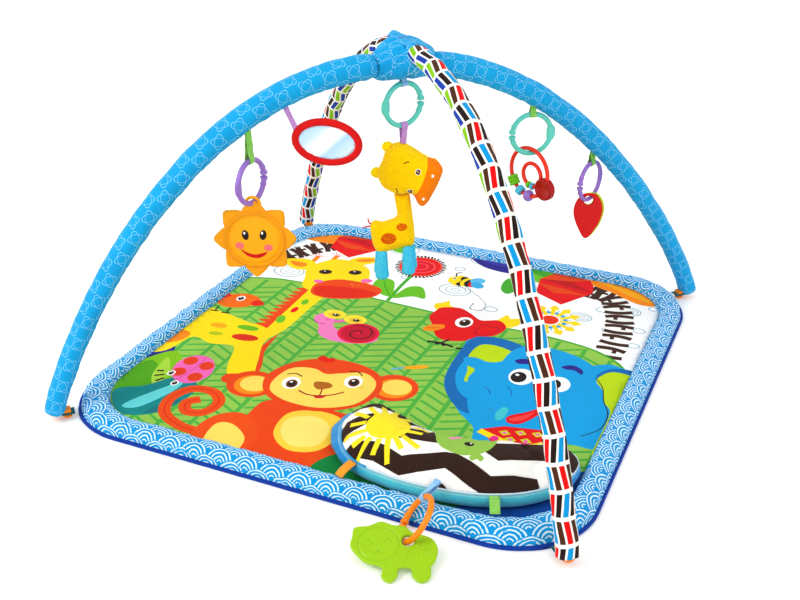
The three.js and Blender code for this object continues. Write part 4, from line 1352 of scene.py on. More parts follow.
def webbing_tabs():
    m = Mat("teal_webbing", 0.85, 0.1, specular=0.25)
    x = m.wave(0.314 / 0.0022, "X")
    y = m.wave(0.314 / 0.0016, "Y")
    m.base(m.vary(m.mix(x * y, lin((10, 98, 110)), lin((28, 146, 150))), 0.08, 90.0))
    m.bump(x * y, 0.9, 0.0004)
    mat = m.done()
    for name, deg in {"right": 45, "back": 135, "left": 225, "front": 315}.items():
        a = math.radians(deg)
        place = Matrix.Rotation(a, 4, "Z")
        # a folded strap with a stitched buttonhole round the knob's neck
        outline = [(586, -10.5), (604, -10.5), (608.5, -9), (609.8, -4), (609.8, 4), (608.5, 9), (604,
            10.5), (586, 10.5)]
        outline = resample(outline, 1.6, True)
        # the darker teal ring is the buttonhole's stitching; the near-black disc inside it is painted shade
        # standing in for the open hole
        art = [(ellipse(598, 0, 6.4, 8.2), (6, 70, 84)), (ellipse(598, 0, 4.4, 4.4), (20, 40, 50))]
        obj = plate(
            "tab_" + name, outline, art, (20, 128, 136), 1.3,
            lambda p, d: 9.7 + 0.72 * np.minimum(d / 0.8, 1) ** 0.5 + 0.15 * np.exp(-((d - 2.2) / 0.5) ** 2),
            lambda p, d: 9.7 - 0.72 * np.minimum(d / 0.8, 1) ** 0.5,
            place, mat, "mat", ["corner_tab_" + name], "webbing_teal", rings=(0.4, 0.8))
        ride(obj)


# ---- rings and ribbons --------------------------------------------------------------------------
RING_R, WIRE = 35.4, 3.6


def link_ring(name, node, body, place, material, slot, flip=False, wire=4.35):
    """A snap-together link: a flat oval grip on one side, two ball-ended jaws that meet on the other."""
    rings = []
    gap = 0.022
    count, sides = 170, 20
    for i in range(count + 1):
        ang = gap + (2 * PI - 2 * gap) * i / count  # from the jaws round to the jaws
        end = min(ang - gap, 2 * PI - gap - ang)
        grip = math.exp(-(((ang - PI) / 0.34) ** 4))
        ball = math.exp(-(((end - 0.10) / 0.085) ** 2))
        ball2 = 0.6 * math.exp(-(((end - 0.40) / 0.06) ** 2))
        r = wire * (1.0 + 0.5 * ball + 0.42 * ball2)
        if end < 0.03:
            r *= math.sqrt(max(0.02, 1 - ((0.03 - end) / 0.03) ** 2))
        wide = r * (1 + 1.25 * grip)
        thin = r * (1 - 0.18 * grip)
        c = Vector((math.cos(ang), 0, math.sin(ang))) * RING_R
        out = Vector((math.cos(ang), 0, math.sin(ang)))
        row = []
        for j in range(sides):
            b = 2 * PI * j / sides
            p = c + out * (wide * math.cos(b) * (0.82 if grip > 0.1 else 1)) + Vector((0, 1,
                0)) * (thin * math.sin(b))
            if flip:
                p = Vector((-p.x, p.y, p.z))
            row.append(p)
        rings.append(row)
    rings = np.array([[tuple(place @ (p * MM)) for p in row] for row in rings])
    verts, faces, _ = loft(rings)
    if flip:
        faces = [f[::-1] for f in faces]
    obj = piece(name, verts, faces, material, body, [node], slot)
    ride(obj)
    return obj


def node_frame(centre, x_axis, z_axis):
    x, z = Vector(x_axis).normalized(), Vector(z_axis).normalized()
    y = z.cross(x)
    return Matrix(((x.x, y.x, z.x, centre[0]), (x.y, y.y, z.y, centre[1]), (x.z, y.z, z.z, centre[2]), (0,
        0, 0, 1)))


def ribbon_loop(name, node, body, place, rise, width, material, slot, inside_r=5.3, thick=0.6, gather=0.0,
                twist=0.0):
    """A flat ribbon folded round a wire at the origin; its two layers meet at the top."""
    path = []
    r = inside_r
    for k in range(13):
        a = PI + PI * k / 12
        path.append((r * math.cos(a), r * math.sin(a)))
    top = rise - 0.3
    right = [(r * (1 - 0.75 * (k / 16) ** 0.7) + 0.5 * math.sin(k * 0.9), top * k / 16) for k in range(1, 17)]
    left = [(-x, y) for x, y in right][::-1]
    line = np.array(left + path + right)
    t = np.gradient(line, axis=0)
    t /= np.linalg.norm(t, axis=1)[:, None]
    nn = np.stack([-t[:, 1], t[:, 0]], axis=1)
    rings = []
    m = 9
    for i, p in enumerate(line):
        row = []
        g = 1 - gather * min(1, max(0, p[1] / max(1, top)))
        for sgn in (1, -1):
            for k in range(m):
                w = (k / (m - 1) - 0.5) * width * g * sgn
                bulge = sgn * thick * (1 - 0.5 * abs(2 * w / width) ** 6)
                q = p - nn[i] * bulge
                h = min(1, max(0, q[1] / max(1, top)))
                c, sn = math.cos(twist * h), math.sin(twist * h)
                fold = 0.7 * h * math.sin(w * 1.2 + q[1] * 0.13)
                row.append((w * c - (q[0] + fold) * sn, w * sn + (q[0] + fold) * c, q[1]))
        rings.append(row)
    rings = np.array([[tuple(place @ (Vector(p) * MM)) for p in row] for row in rings])
    verts, faces, uv = loft(rings)
    obj = piece(name, verts, faces, material, body, [node], slot, uv=uv)
    ride(obj)
    return obj


def ribbon_material(name, rgb, light):
    m = Mat(name, 0.55, 0.35, specular=0.4)
    rib = m.wave(0.314 / 0.0013, "Z", distort=0.4)
    fold = m.noise(60.0, 2.0)
    m.base(m.vary(m.mix(rib * 0.5 + fold * 0.4, lin(rgb), lin(light)), 0.05, 120.0))
    m.bump(rib, 0.6, 0.0003)
    m.bump(fold, 0.5, 0.0015)
    return m.done()


# ---- the hanging toys ---------------------------------------------------------------------------
def rings_and_ribbons(mats):
    def at(s, across, wire, turn):
        a = arch_point(BLUE, s)
        c = Vector(a) + RIGHT * across * MM + Vector((0, 0, (wire - RING_R) * MM))
        th = FACE + math.radians(turn)
        x = Vector((math.cos(th), math.sin(th), 0))
        return node_frame(c, x, (0, 0, 1))

    cover = (512 - arch_height(BLUE, 0) * 1000)
    for key, s, across, wire, turn, rise, mat, slot, flip, rmat, rslot in (
        ("sun", -0.278, 16, -61.6, 62, 41, "purple", "purple_plastic", True, "r_green", "ribbon_green"),
        ("giraffe", 0.0, 0, cover - 8, 35, 7.5, "teal", "teal_plastic", True, "r_sky", "ribbon_sky"),
        ("rattle", 0.236, 4, -38.5, 12, 7.5, "teal", "teal_plastic", False, "r_green", "ribbon_green"),
        ("leaf", 0.386, -16, -30, 50, 8, "purple", "purple_plastic", False, "r_green", "ribbon_green"),
    ):
        frame4 = at(s, across, wire, turn)
        # jaws sit at local +X: to the right for sun and giraffe, to the left for the others
        link_ring(key + "_link", "link_ring_" + key, key + "_ring", frame4, mats[mat], slot, flip=not flip,
                  wire=3.9 if key == "leaf" else 4.35)
        top = frame4 @ Matrix.Translation((0, 0, RING_R * MM))
        rise = reach(top.translation + Vector((0, 0, 0.007)), (0, 0, 1), 9.5) or rise
        ribbon_loop(key + "_ribbon", "ribbon_" + key, "blue_arch", top, rise, 12, mats[rmat], rslot,
                    gather=0.25, twist=math.radians(45 - turn - 23.9) if rise > 20 else 0.0)


def sun(mats):
    wire = -61.6 - 2 * RING_R
    place = toy_frame(-0.278, 16, wire + WIRE + 3.2 - 9 - 62)
    outline = []
    for i in range(8):
        a0 = 2 * PI * i / 8 + PI / 2
        step = PI / 8
        pts = [(53, a0 - step), (56.5, a0 - step * 0.80), (61.5, a0 - step * 0.46), (66.8,
            a0 - step * 0.16), (68, a0),
               (66.8, a0 + step * 0.16), (61.5, a0 + step * 0.46), (56.5, a0 + step * 0.80)]
        outline += [(r * math.cos(a), r * math.sin(a)) for r, a in pts]
    outline = resample(spline(outline, True, 3), 1.6, True)
    # the hook's ring stands up from the top petals
    Y, D = (252, 176, 0), (248, 166, 0)
    face = (255, 184, 4)
    art = [(ellipse(0, 0, 44.5, n=90), face)]
    for x, t in ((-14.5, 8), (14.5, -8)):
        art += [(ellipse(x, 10, 5.6, 8.8, t), (60, 30, 14)), (ellipse(x + 0.6, 9.5, 4.0, 6.6, t), (26, 14,
            10)),
                (ellipse(x - 1.4, 13.4, 1.8, 2.6), (255, 255, 255))]
    for x, y, t in ((-25, -9, 0), (22, -13, 0)):
        art += [(ellipse(x, y, 7.2, 6.2, t), (240, 128, 128))]
    smile = spline([(-24, -15), (-14, -27), (0, -32), (12, -29), (20, -21), (10, -23), (0, -25), (-12, -22)])
    art += [(smile, (206, 22, 30))]

    def ridge(r, at, w, h):
        return h * np.exp(-(((r - at) / w) ** 2))

    def top(p, d):
        r = np.hypot(p[:, 0], p[:, 1])
        edge = np.sqrt(np.clip(1 - (1 - np.minimum(d / 3.2, 1)) ** 2, 0, 1))
        ang = np.arctan2(p[:, 1], p[:, 0]) - PI / 2
        petal = np.clip((r - 49) / 19, 0, 1)
        crease = (1 - np.abs(((ang / (PI / 4) + 0.5) % 1) - 0.5) * 2) * petal * 4.2
        dome = 4.2 * np.clip(1 - (r / 44.5) ** 2, 0, 1) ** 0.5
        groove = ridge(r, 43.4, 1.1, -1.6) + ridge(r, 49.6, 1.3, -1.8)
        return edge * (4.3 + ridge(r, 46.6, 1.6, 4.6) + crease - 2.2 * petal + dome + groove)

    def bottom(p, d):
        edge = np.sqrt(np.clip(1 - (1 - np.minimum(d / 3.2, 1)) ** 2, 0, 1))
        r = np.hypot(p[:, 0], p[:, 1])
        return -edge * (5.2 + ridge(r, 46.2, 1.6, 0.8) - 0.6 * np.cos(4 * (np.arctan2(p[:, 1], p[:,
            0]) - PI / 2)) ** 2
                        * np.clip((r - 47) / 20, 0, 1))

    obj = plate("sun_face_toy", outline, art, Y, 2.1, top, bottom, place, mats["sun"], "sun",
                ["sun_front_shell", "sun_back_shell", "sun_face"], "sun_plastic", rings=(0.35, 1.0, 2.0,
                    3.2), back=D)
    ride(obj)
    # hook loop
    path = [(11.6 * math.cos(a), 62 + 11.6 * math.sin(a), 1.2) for a in np.linspace(-0.75, PI + 0.75, 34)]
    rings = tube([tuple(place @ (Vector(p) * MM)) for p in path], 2.5 * MM, 14, up=FRONT)
    verts, faces, _ = loft(rings)
    ride(piece("sun_hook", verts, faces, mats["sun_plain"], "sun", slot="sun_plastic"))


def mirror(mats):
    place = toy_frame(-0.214, 78, -72, -10)
    a, b, w = 57.0, 39.0, 12.5
    steps, sides = 150, 26
    rings = []
    for i in range(steps):
        t = 2 * PI * i / steps
        c = Vector((math.cos(t) * (a - w / 2), math.sin(t) * (b - w / 2), 0))
        n = Vector((math.cos(t) / (a - w / 2), math.sin(t) / (b - w / 2), 0)).normalized()
        row = []
        for j in range(sides):
            g = 2 * PI * j / sides
            wr = noise.noise(Vector((math.cos(t) * 9, math.sin(t) * 9, math.cos(g) * 1.2))) * 0.35
            ru = (w / 2) * (1 + 0.05 * wr)
            rz = 4.8 * (1 + 0.06 * wr)
            row.append(c + n * ru * math.cos(g) + Vector((0, 0, rz * math.sin(g))))
        rings.append(row)
    rings = [[tuple(place @ (p * MM)) for p in row] for row in rings]
    verts, faces, uv = loft(rings, closed_u=True, caps=False)
    rim = piece("mirror_rim", verts, faces, mats["red_cloth"], "mirror", ["mirror_frame"], "red_fabric",
                uv=uv)
    ride(rim)
    outline = ellipse(0, 0, a - w + 1.4, b - w + 1.4, n=90)
    glass = plate("mirror_sheet", outline, [], (220, 238, 250), 4.5,
                  lambda p, d: 2.6 + 0.12 * np.sin(p[:, 0] * 0.08) - 0.5 * np.exp(-d / 2),
                  lambda p, d: np.full(len(p), 1.6), place, mats["mirror"], "mirror", ["mirror_disc"],
                  "mirror")
    ride(glass)
    back = plate("mirror_backing", ellipse(0, 0, a - w + 1.4, b - w + 1.4, n=80), [], (206, 30, 36), 6,
                 lambda p, d: np.full(len(p), 0.9), lambda p, d: -2.2 - 0.8 * np.minimum(d / 12, 1), place,
                 mats["red_cloth"], "mirror", slot="red_fabric")
    ride(back)
    # short folded ribbon, sewn to the rim
    end = place @ Matrix.Translation((-51.5 * MM, 13 * MM, 0)) @ Matrix.Rotation(math.radians(33), 4, "Z")
    rows = []
    up = (end.to_3x3() @ Vector((0, 1, 0))).normalized()
    span = reach(end.translation, up, 2.0) or 30.5
    for k in range(15):
        y = span * k / 14
        row = []
        half = 4.6 - 0.5 * math.sin(k / 14 * PI)
        for sgn in (1, -1):
            for q in range(8):
                x = (q / 7 - 0.5) * 2 * half * sgn
                row.append((x, y, sgn * (0.75 + 0.35 * math.cos(x * 1.9))))
        rows.append(row)
    rings = [[tuple(end @ (Vector(p) * MM)) for p in row] for row in rows]
    verts, faces, uv = loft(rings)
    ride(piece("mirror_ribbon", verts, faces, mats["r_lilac"], "mirror", ["ribbon_mirror"], "ribbon_lilac",
               uv=uv))


def stuffed(name, outline, art, base, depth, place, material, body, nodes, slot, soft=16.0, spacing=1.35,
            z0=0.0, back=None, cap=0.003):
    outline = resample(spline(outline, True, 6), spacing, True)

    def shape(sign):
        def f(p, d):
            t = np.minimum(d / soft, 1)
            h = (1 - (1 - t) ** 2.1) ** 0.5
            pucker = 0.25 * np.sin(p[:, 0] * 1.1 + p[:, 1] * 0.9) * np.exp(-d / 2.5)
            return z0 + sign * (depth / 2) * h + sign * pucker * (d > 1e-3)
        return f

    obj = plate(name, outline, art, base, spacing, shape(1), shape(-1), place, material, body, nodes, slot,
                rings=(0.5, 1.3), back=back)
    puff(obj, 0.004, 3.0, cap, 14)
    for vert in obj.data.vertices:
        q = vert.co * 1000
        loops = noise.noise(q * 0.62) + 0.8 * noise.noise(q * 1.3 + Vector((7, 3, 1)))
        vert.co += vert.normal * loops * 0.0006
    ride(obj)
    return obj


def giraffe(mats):
    wire = (512 - arch_height(BLUE, 0) * 1000) - 8 - 2 * RING_R
    place = toy_frame(0.0, 0, wire) @ Matrix.Scale(0.95, 4)
    Y, OR = (255, 213, 32), (250, 142, 34)
    head = [[-12, -35], [1, -35], [18, -44], [42, -60], [57, -65], [67, -78], [68, -87],
            [57, -116], [41, -145], [28, -146], [18, -130], [8, -126], [-3, -127], [-18, -123], [-35, -112],
            [-43, -96], [-43, -82], [-35, -66], [-30, -50], [-20, -39]]
    muzzle = spline([(44, -56), (41, -74), (34, -96), (24, -116), (16, -130), (26, -156), (46, -156), (80,
        -110), (78, -70), (62, -56)])
    art = [(muzzle, OR)]
    for x, y in ((50.5, -86), (35.5, -128)):
        art.append((ellipse(x, y, 2.6, 2.9), (255, 255, 255)))
    art.append((ellipse(46.5, -136, 2.4, 2.0), (40, 20, 14)))
    for x, y in ((25.5, -78), (12, -115)):
        art += [(ellipse(x, y, 5.0, 5.4), (250, 250, 250)), (ellipse(x, y, 4.0, 4.4), (46, 24, 16)),
                (ellipse(x + 0.6, y - 0.4, 2.0), (190, 120, 60)), (ellipse(x - 1.2, y + 1.4, 1.1),
                    (255, 255, 255))]
    art += [(stroke([(1, -63), (6, -60.5), (11, -60)], 1.5), (60, 40, 20)),
            (stroke([(-12.5, -108), (-10.5, -113), (-10, -118)], 1.5), (60, 40, 20))]
    stuffed("giraffe_plush_head", head, art, Y, 47, place, mats["plush_print"], "giraffe",
            ["giraffe_head"], "plush_yellow", 22, back=Y)
    torso = [[-16, -129], [-3, -130], [9, -129], [13, -150], [16, -174], [18, -187], [20, -217],
             [16, -226], [1, -230], [-24, -237], [-41, -241], [-51, -233], [-56, -215], [-58, -190],
             [-49, -182], [-37, -184], [-13, -174], [-14, -150]]
    spots = []
    rng = np.random.default_rng(5)
    for x, y, rx, ry in ((-26, -208, 13.5, 10.5), (-3, -186, 9.5, 7)):
        spots.append((ellipse(x, y, rx, ry, 8), (214, 104, 24)))
        for _ in range(26):
            a, q = rng.random() * 2 * PI, math.sqrt(rng.random()) * 0.8
            spots.append((stroke([(x + rx * q * math.cos(a) - 1.6, y + ry * q * math.sin(a)),
                                  (x + rx * q * math.cos(a) + 1.6, y + ry * q * math.sin(a) + 0.6)], 0.7,
                                  smooth=False), (240, 160, 50)))
    stuffed("giraffe_plush_body", torso, spots, Y, 36, place, mats["plush_print"], "giraffe",
            ["giraffe_torso"], "plush_yellow", 17, back=Y)
    for k, (x, y) in enumerate(((-27.5, -41), (-47.5, -89))):
        a = math.radians((118, 175)[k])
        ear = [(x + 9.5 * math.cos(t + a) * (1.1 if math.cos(t) > 0 else 0.9), y + 9.5 * math.sin(t + a))
               for t in np.arange(10) * 2 * PI / 10]
        stuffed("giraffe_ear_%d" % k, ear, [], Y, 12, place, mats["plush_yellow"], "giraffe", [],
                "plush_yellow", 7, 1.6, z0=-3, cap=0.001)
    for name, x, z, top in (("front_near", 8, 11, -226), ("front_far", 12, -11, -226), ("hind_near", -38,
        11, -234), ("hind_far", -41, -11, -234)):
        rings = []
        steps, sides = 26, 30
        bottom = -284.5 if x > 0 else -294.5
        for i in range(steps + 1):
            t = i / steps
            y = top + (bottom - top) * t
            r = 9.0 + 4.6 * t**1.3
            r *= math.sqrt(max(0.0, 1 - max(0, (t - 0.86) / 0.1401) ** 2)) if t > 0.86 else 1
            r *= math.sqrt(min(1, 0.25 + t * 6))
            row = []
            for j in range(sides):
                g = 2 * PI * j / sides
                w = 1 + 0.05 * noise.noise(Vector((x * 0.1 + math.cos(g), y * 0.09, math.sin(g) + z)))
                row.append((x + (t * 2.4 if x > 0 else -t * 1.0) + r * w * math.cos(g), y,
                            z + 0.76 * r * w * math.sin(g)))
            rings.append(row)
        rings = [[tuple(place @ (Vector(p) * MM)) for p in row] for row in rings]
        verts, faces, _ = loft(rings)
        faces = [f[::-1] for f in faces]
        leg = piece("giraffe_plush_leg_" + name, verts, faces, mats["plush_blue"], "giraffe",
                    ["giraffe_leg_" + name], "plush_blue")
        ride(leg)
    # two-strand tail
    for k, pts in enumerate((((-55, -190, 0), (-62, -184, 1), (-64, -176, 2)), ((-55, -191, 0),
        (-66, -193, -1), (-74, -196, -2)))):
        path = spline(pts, False, 8)
        rings = tube([tuple(place @ (Vector(p) * MM)) for p in path],
                     [1.5 * MM * (1 - 0.35 * i / len(path)) for i in range(len(path))], 10, up=FRONT)
        verts, faces, _ = loft(rings)
        ride(piece("giraffe_tail_%d" % k, verts, faces, mats["red_cloth"], "giraffe", slot="red_fabric"))
    th = FACE + math.radians(35)
    loop = node_frame(place.translation, (math.cos(th), math.sin(th), 0), (0, 0, 1)) @ Matrix.Rotation(PI,
        4, "X")
    ribbon_loop("giraffe_ribbon_lower", "giraffe_loop", "giraffe", loop, 32, 12, mats["r_lilac"],
                "ribbon_lilac", gather=0.2)


def rattle(mats):
    ring_wire = -38.5 - 2 * RING_R
    base = toy_frame(0.236, 4, ring_wire - 44 + 3.6 + 3.8 + 0.6)
    place = base @ Matrix.Rotation(math.radians(-50), 4, "Y")  # local X right, Y up, Z front

    def on(deg, r=44.0, dx=0.0, dy=0.0):
        a = math.radians(deg)
        return Vector((r * math.cos(a) + dx, r * math.sin(a) + dy, 0))

    # outer wire from the clicker's top right, over the ring and down the left to its underside
    outer = [on(d) for d in np.linspace(-8, 318, 130)]
    rings = tube([tuple(place @ (p * MM)) for p in outer], 3.7 * MM, 16,
                 up=place.to_3x3() @ Vector((0, 0, 1)))
    verts, faces, _ = loft(rings)
    ride(piece("rattle_wire_outer", verts, faces, mats["red_plastic"], "rattle", ["rattle_frame"],
               "red_plastic"))
    inner = [on(d, 21, 7, -3) for d in np.linspace(-38, 300, 90)]
    rings = tube([tuple(place @ (p * MM)) for p in inner],
                 [3.6 * MM * (0.8 if i < 8 else 1) for i in range(90)], 16,
                 up=place.to_3x3() @ Vector((0, 0, 1)))
    verts, faces, _ = loft(rings)
    ride(piece("rattle_wire_inner", verts, faces, mats["red_plastic"], "rattle", slot="red_plastic"))

    def turned(name, centre, axis_deg, profile, mat, nodes, slot, body, wave=0.0, sides=48):
        """A turned piece about an axis in the rattle's plane, or out of it when axis_deg is None."""
        if axis_deg is None:
            ax, ux, vx = Vector((0, 0, 1)), Vector((1, 0, 0)), Vector((0, 1, 0))
        else:
            a = math.radians(axis_deg + 90)
            ax, ux, vx = Vector((math.cos(a), math.sin(a), 0)), Vector((math.sin(a), -math.cos(a),
                0)), Vector((0, 0, 1))
        rings = []
        for h, r in profile:
            row = []
            for j in range(sides):
                g = 2 * PI * j / sides
                rr = r * (1 + wave * math.cos(12 * g))
                spoke = ux * rr * math.cos(g) + vx * rr * math.sin(g)
                row.append(tuple(place @ ((centre + ax * h + spoke) * MM)))
            rings.append(row)
        verts, faces, _ = loft(rings)
        obj = piece(name, verts, faces, mat, body, nodes, slot)
        ride(obj)

    disc = [(-7, 3), (-7, 15), (-6.4, 18.4), (-4.6, 19.8), (-1.5, 20), (-0.8, 19.2), (0.8, 19.2), (1.5, 20),
            (4.6, 19.8),
            (6.2, 18.2), (6.6, 15.5), (5.4, 14.4), (5.2, 3)]
    turned("rattle_clicker", on(-28), None, disc, mats["dark_red"], [], "red_plastic", "rattle", 0.008, 72)
    green = []
    for k in range(3):
        h = -9 + 6 * k
        green += [(h, 8.2), (h + 0.9, 9.8), (h + 3, 10.1), (h + 5.1, 9.8), (h + 6, 8.2)]
    turned("bead_ribbed_green", on(214), 214, [(-9, 4.6)] + green + [(9, 4.6)], mats["green"],
           ["bead_green"], "green_plastic", "green_bead")
    sky = [(-6, 4.6), (-5.9, 7.4), (-4.6, 8.9), (-1.2, 9.1), (0, 8.5), (1.2, 9.1), (4.6, 8.9), (5.9, 7.4),
           (6, 4.6)]
    turned("bead_sky_band", on(244), 244, sky, mats["sky"], ["bead_sky"], "sky_plastic", "sky_bead")
    ball = [(-7.4, 4.6)] + [(7.5 * math.sin(t), 4.6 + 6.0 * math.cos(t)) for t in np.linspace(-1.4, 1.4,
        13)] + [(7.4, 4.6)]
    turned("bead_purple_ball", on(272), 272, ball, mats["purple"], ["bead_purple"], "purple_plastic",
           "purple_bead")
    for k, (deg, mat) in enumerate(((252, "green"), (276, "sky"))):
        small = [(-3.2, 3.9), (-3.1, 5.4), (-1.6, 6.4), (0, 6.0), (1.6, 6.4), (3.1, 5.4), (3.2, 3.9)]
        turned("rattle_small_band_%d" % k, on(deg, 21, 7, -3), deg, small, mats[mat], [], mat + "_plastic",
               "rattle")


def leaf(mats):
    ring_wire = -30 - 2 * RING_R
    place = toy_frame(0.386, -16, ring_wire + WIRE + 3.2 - 9 - 31)
    pts = [[0, 45], [14, 42], [25, 25], [27, 4], [19, -22], [0, -46], [-16, -24], [-26, 4], [-24, 26], [-13,
        42]]
    outline = resample(spline(pts, True, 6), 1.5, True)
    for name, node, rgb, dx, z0, mat, slot in (
        ("leaf_teether_red", "leaf_red", (214, 24, 30), 0.0, 0.15, "leaf_red", "silicone_red"),
        ("leaf_teether_green", "leaf_green", (196, 224, 30), 4.0, -3.65, "leaf_green", "silicone_green"),
    ):
        shifted = outline + np.array([dx, 0])
        hole = ellipse(0, 31, 8.6, 9.0, n=40)

        def top(p, d, z0=z0, dx=dx):
            e = np.sqrt(np.clip(1 - (1 - np.minimum(d / 1.4, 1)) ** 2, 0, 1))
            dh = np.hypot(p[:, 0], p[:, 1] - 31) - 8.8
            rim = np.exp(-((dh - 1.2) / 0.8) ** 2) * 0.5
            x = p[:, 0] - dx
            vein = np.exp(-((x) / 0.8) ** 2) * (p[:, 1] < 18) * (p[:, 1] > -38) * 0.5
            for k in range(5):
                y0 = 10 - 11 * k
                vein = np.maximum(vein, np.exp(-((p[:,
                    1] - y0 - np.abs(x) * 0.7) / 0.9) ** 2) * (np.abs(x) < 14 - k * 1.4) * 0.4)
            return z0 + 1.75 + e * (1.75 - 0.55) + rim * 0.3 - vein * 0.45

        def bottom(d, z0=z0):
            e = np.sqrt(np.clip(1 - (1 - np.minimum(d / 1.4, 1)) ** 2, 0, 1))
            return z0 + 1.75 - e * 1.75

        v, f, _ = art_mesh(shifted, [(hole, rgb)], rgb, 1.7, (0.3, 0.8, 1.4))
        c = v[f].mean(axis=1)
        keep = ~inside(hole, c)
        f = f[keep]
        d = np.minimum(edge_distance(shifted, v), edge_distance(hole, v))
        zt, zb = top(v, d), bottom(d)
        used = np.unique(f)
        n = len(v)
        verts = np.vstack([np.column_stack([v, zt]), np.column_stack([v, zb])]) * MM
        faces = [tuple(t) for t in f] + [tuple((t + n)[::-1]) for t in f]
        count = {(a, b) for t in f for a, b in ((t[0], t[1]), (t[1], t[2]), (t[2], t[0]))}
        for a, b in count:
            if (b, a) not in count:
                faces.append((a, a + n, b + n, b))
        keepv = np.concatenate([used, used + n])
        new = np.full(2 * n, -1)
        new[keepv] = np.arange(len(keepv))
        faces = [tuple(new[list(t)]) for t in faces]
        verts = np.array([tuple(place @ Vector(p)) for p in verts[keepv]])
        ride(piece(name, verts, faces, mats[mat], "leaf", [node], slot))


# ---- pillow and lion ----------------------------------------------------------------------------
PILLOW = [[14, -305], [42, -355], [88, -388], [150, -403], [215, -404],
          [290, -390], [350, -360], [390, -315], [402, -273], [388, -243], [345, -237], [280, -259],
          [210, -277], [150, -271], [100, -249], [52, -237], [20, -263]]


def pillow_print():
    """Zigzag bands, a sun with straight rays, a bird's head and a patterned hem, in millimetres on the mat.

    Its points follow the photo's pillow: photo points, cast onto the pillow, were the guide.
    """
    K, YL, G = (56, 34, 26), (252, 232, 86), (160, 200, 100)
    art = [(np.array(q, dtype=float), K) for q in (
        [(40, -292), (50, -262), (56, -218), (77, -215), (102, -226), (134, -250), (165, -282), (150, -292),
         (132, -292), (112, -281), (96, -262), (85, -271), (64, -290)],
        [(26, -356), (36, -330), (49, -322), (65, -316), (89, -301), (96, -318), (84, -338), (65, -352),
         (50, -366)],
        [(135, -325), (149, -318), (175, -308), (192, -288), (200, -262), (230, -262), (222, -334), (186,
            -343),
         (164, -344), (139, -350)],
        [(58, -392), (70, -374), (90, -366), (121, -364), (165, -379), (198, -366), (224, -354), (242, -351),
         (264, -357), (299, -368), (359, -337), (392, -372), (360, -392), (318, -392), (299, -390), (262,
             # Its points were read off a perspective-corrected copy of the photo's mat, so it follows that
             # art.
             -388),
         (234, -380), (200, -393), (169, -403), (125, -393), (103, -390), (86, -404)],
        [(190, -424), (208, -406), (236, -398), (277, -407), (290, -424)],
        [(276, -331), (284, -303), (349, -271), (376, -222), (420, -262), (396, -294), (359, -308), (300,
            -341)],
    )]
    for x0, y0, x1, y1 in ((55, -303, 84, -317), (62, -334, 86, -329), (60, -358, 95, -346), (84, -374, 98,
        -358),
                           (97, -396, 107, -358), (122, -386, 121, -358), (147, -394, 133, -354),
                           (160, -368, 142, -348), (184, -360, 150, -341), (176, -325, 148, -327),
                           (180, -301, 144, -307), (100, -246, 114, -287), (82, -256, 101, -292),
                           (72, -286, 92, -304), (132, -258, 124, -284)):
        art.append((stroke([(x0, y0), (x1, y1)], 8.5, smooth=False), YL))
    art.append((spline([(152, -310), (140, -287), (119, -279), (101, -288), (91, -305), (87, -324), (91,
        -342),
                        (103, -353), (119, -357), (136, -353), (149, -342), (154, -326)]), YL))
    art.append((spline([(196, -322), (184, -290), (190, -258), (236, -240), (272, -232), (283, -290), (281,
        -322),
                        (268, -342), (248, -351), (226, -350), (208, -341)]), G))
    art.append((spline([(262, -344), (260, -352), (266, -356), (271, -351), (278, -353), (280, -346), (275,
        -341),
                        (268, -338)]), G))
    art.append((ellipse(248, -320, 7.4, 6.2, 20), (36, 26, 22)))
    art.append((ellipse(250, -317, 2.2), (235, 235, 235)))
    art.append((stroke([(216, -318), (223, -312), (229, -302)], 6), (236, 150, 196)))
    art.append((ellipse(205, -300, 3.4, 2.4, 30), (60, 40, 30)))
    art.append((np.array([(258, -232), (268, -214), (300, -190), (350, -172), (372, -210), (356, -250),
                          (330, -262),
                          (300, -262), (272, -250)], dtype=float), (214, 40, 42)))
    for x, y in ((284, -238), (300, -226), (322, -216), (342, -206), (312, -204), (334, -236), (312, -246),
                 (350, -232)):
        art.append((ellipse(x, y, 7.6, 6.6, 20, n=4), (196, 214, 62)))
        art.append((ellipse(x, y, 3.8, 3.2, 20, n=4), (226, 60, 150)))
    art.append((stroke([(262, -242), (286, -262), (304, -270), (322, -276), (340, -268), (362, -252), (376,
        -226)], 10),
                (252, 230, 44)))
    art.append((ellipse(318, -262, 8.5, 7), (226, 50, 150)))
    return art


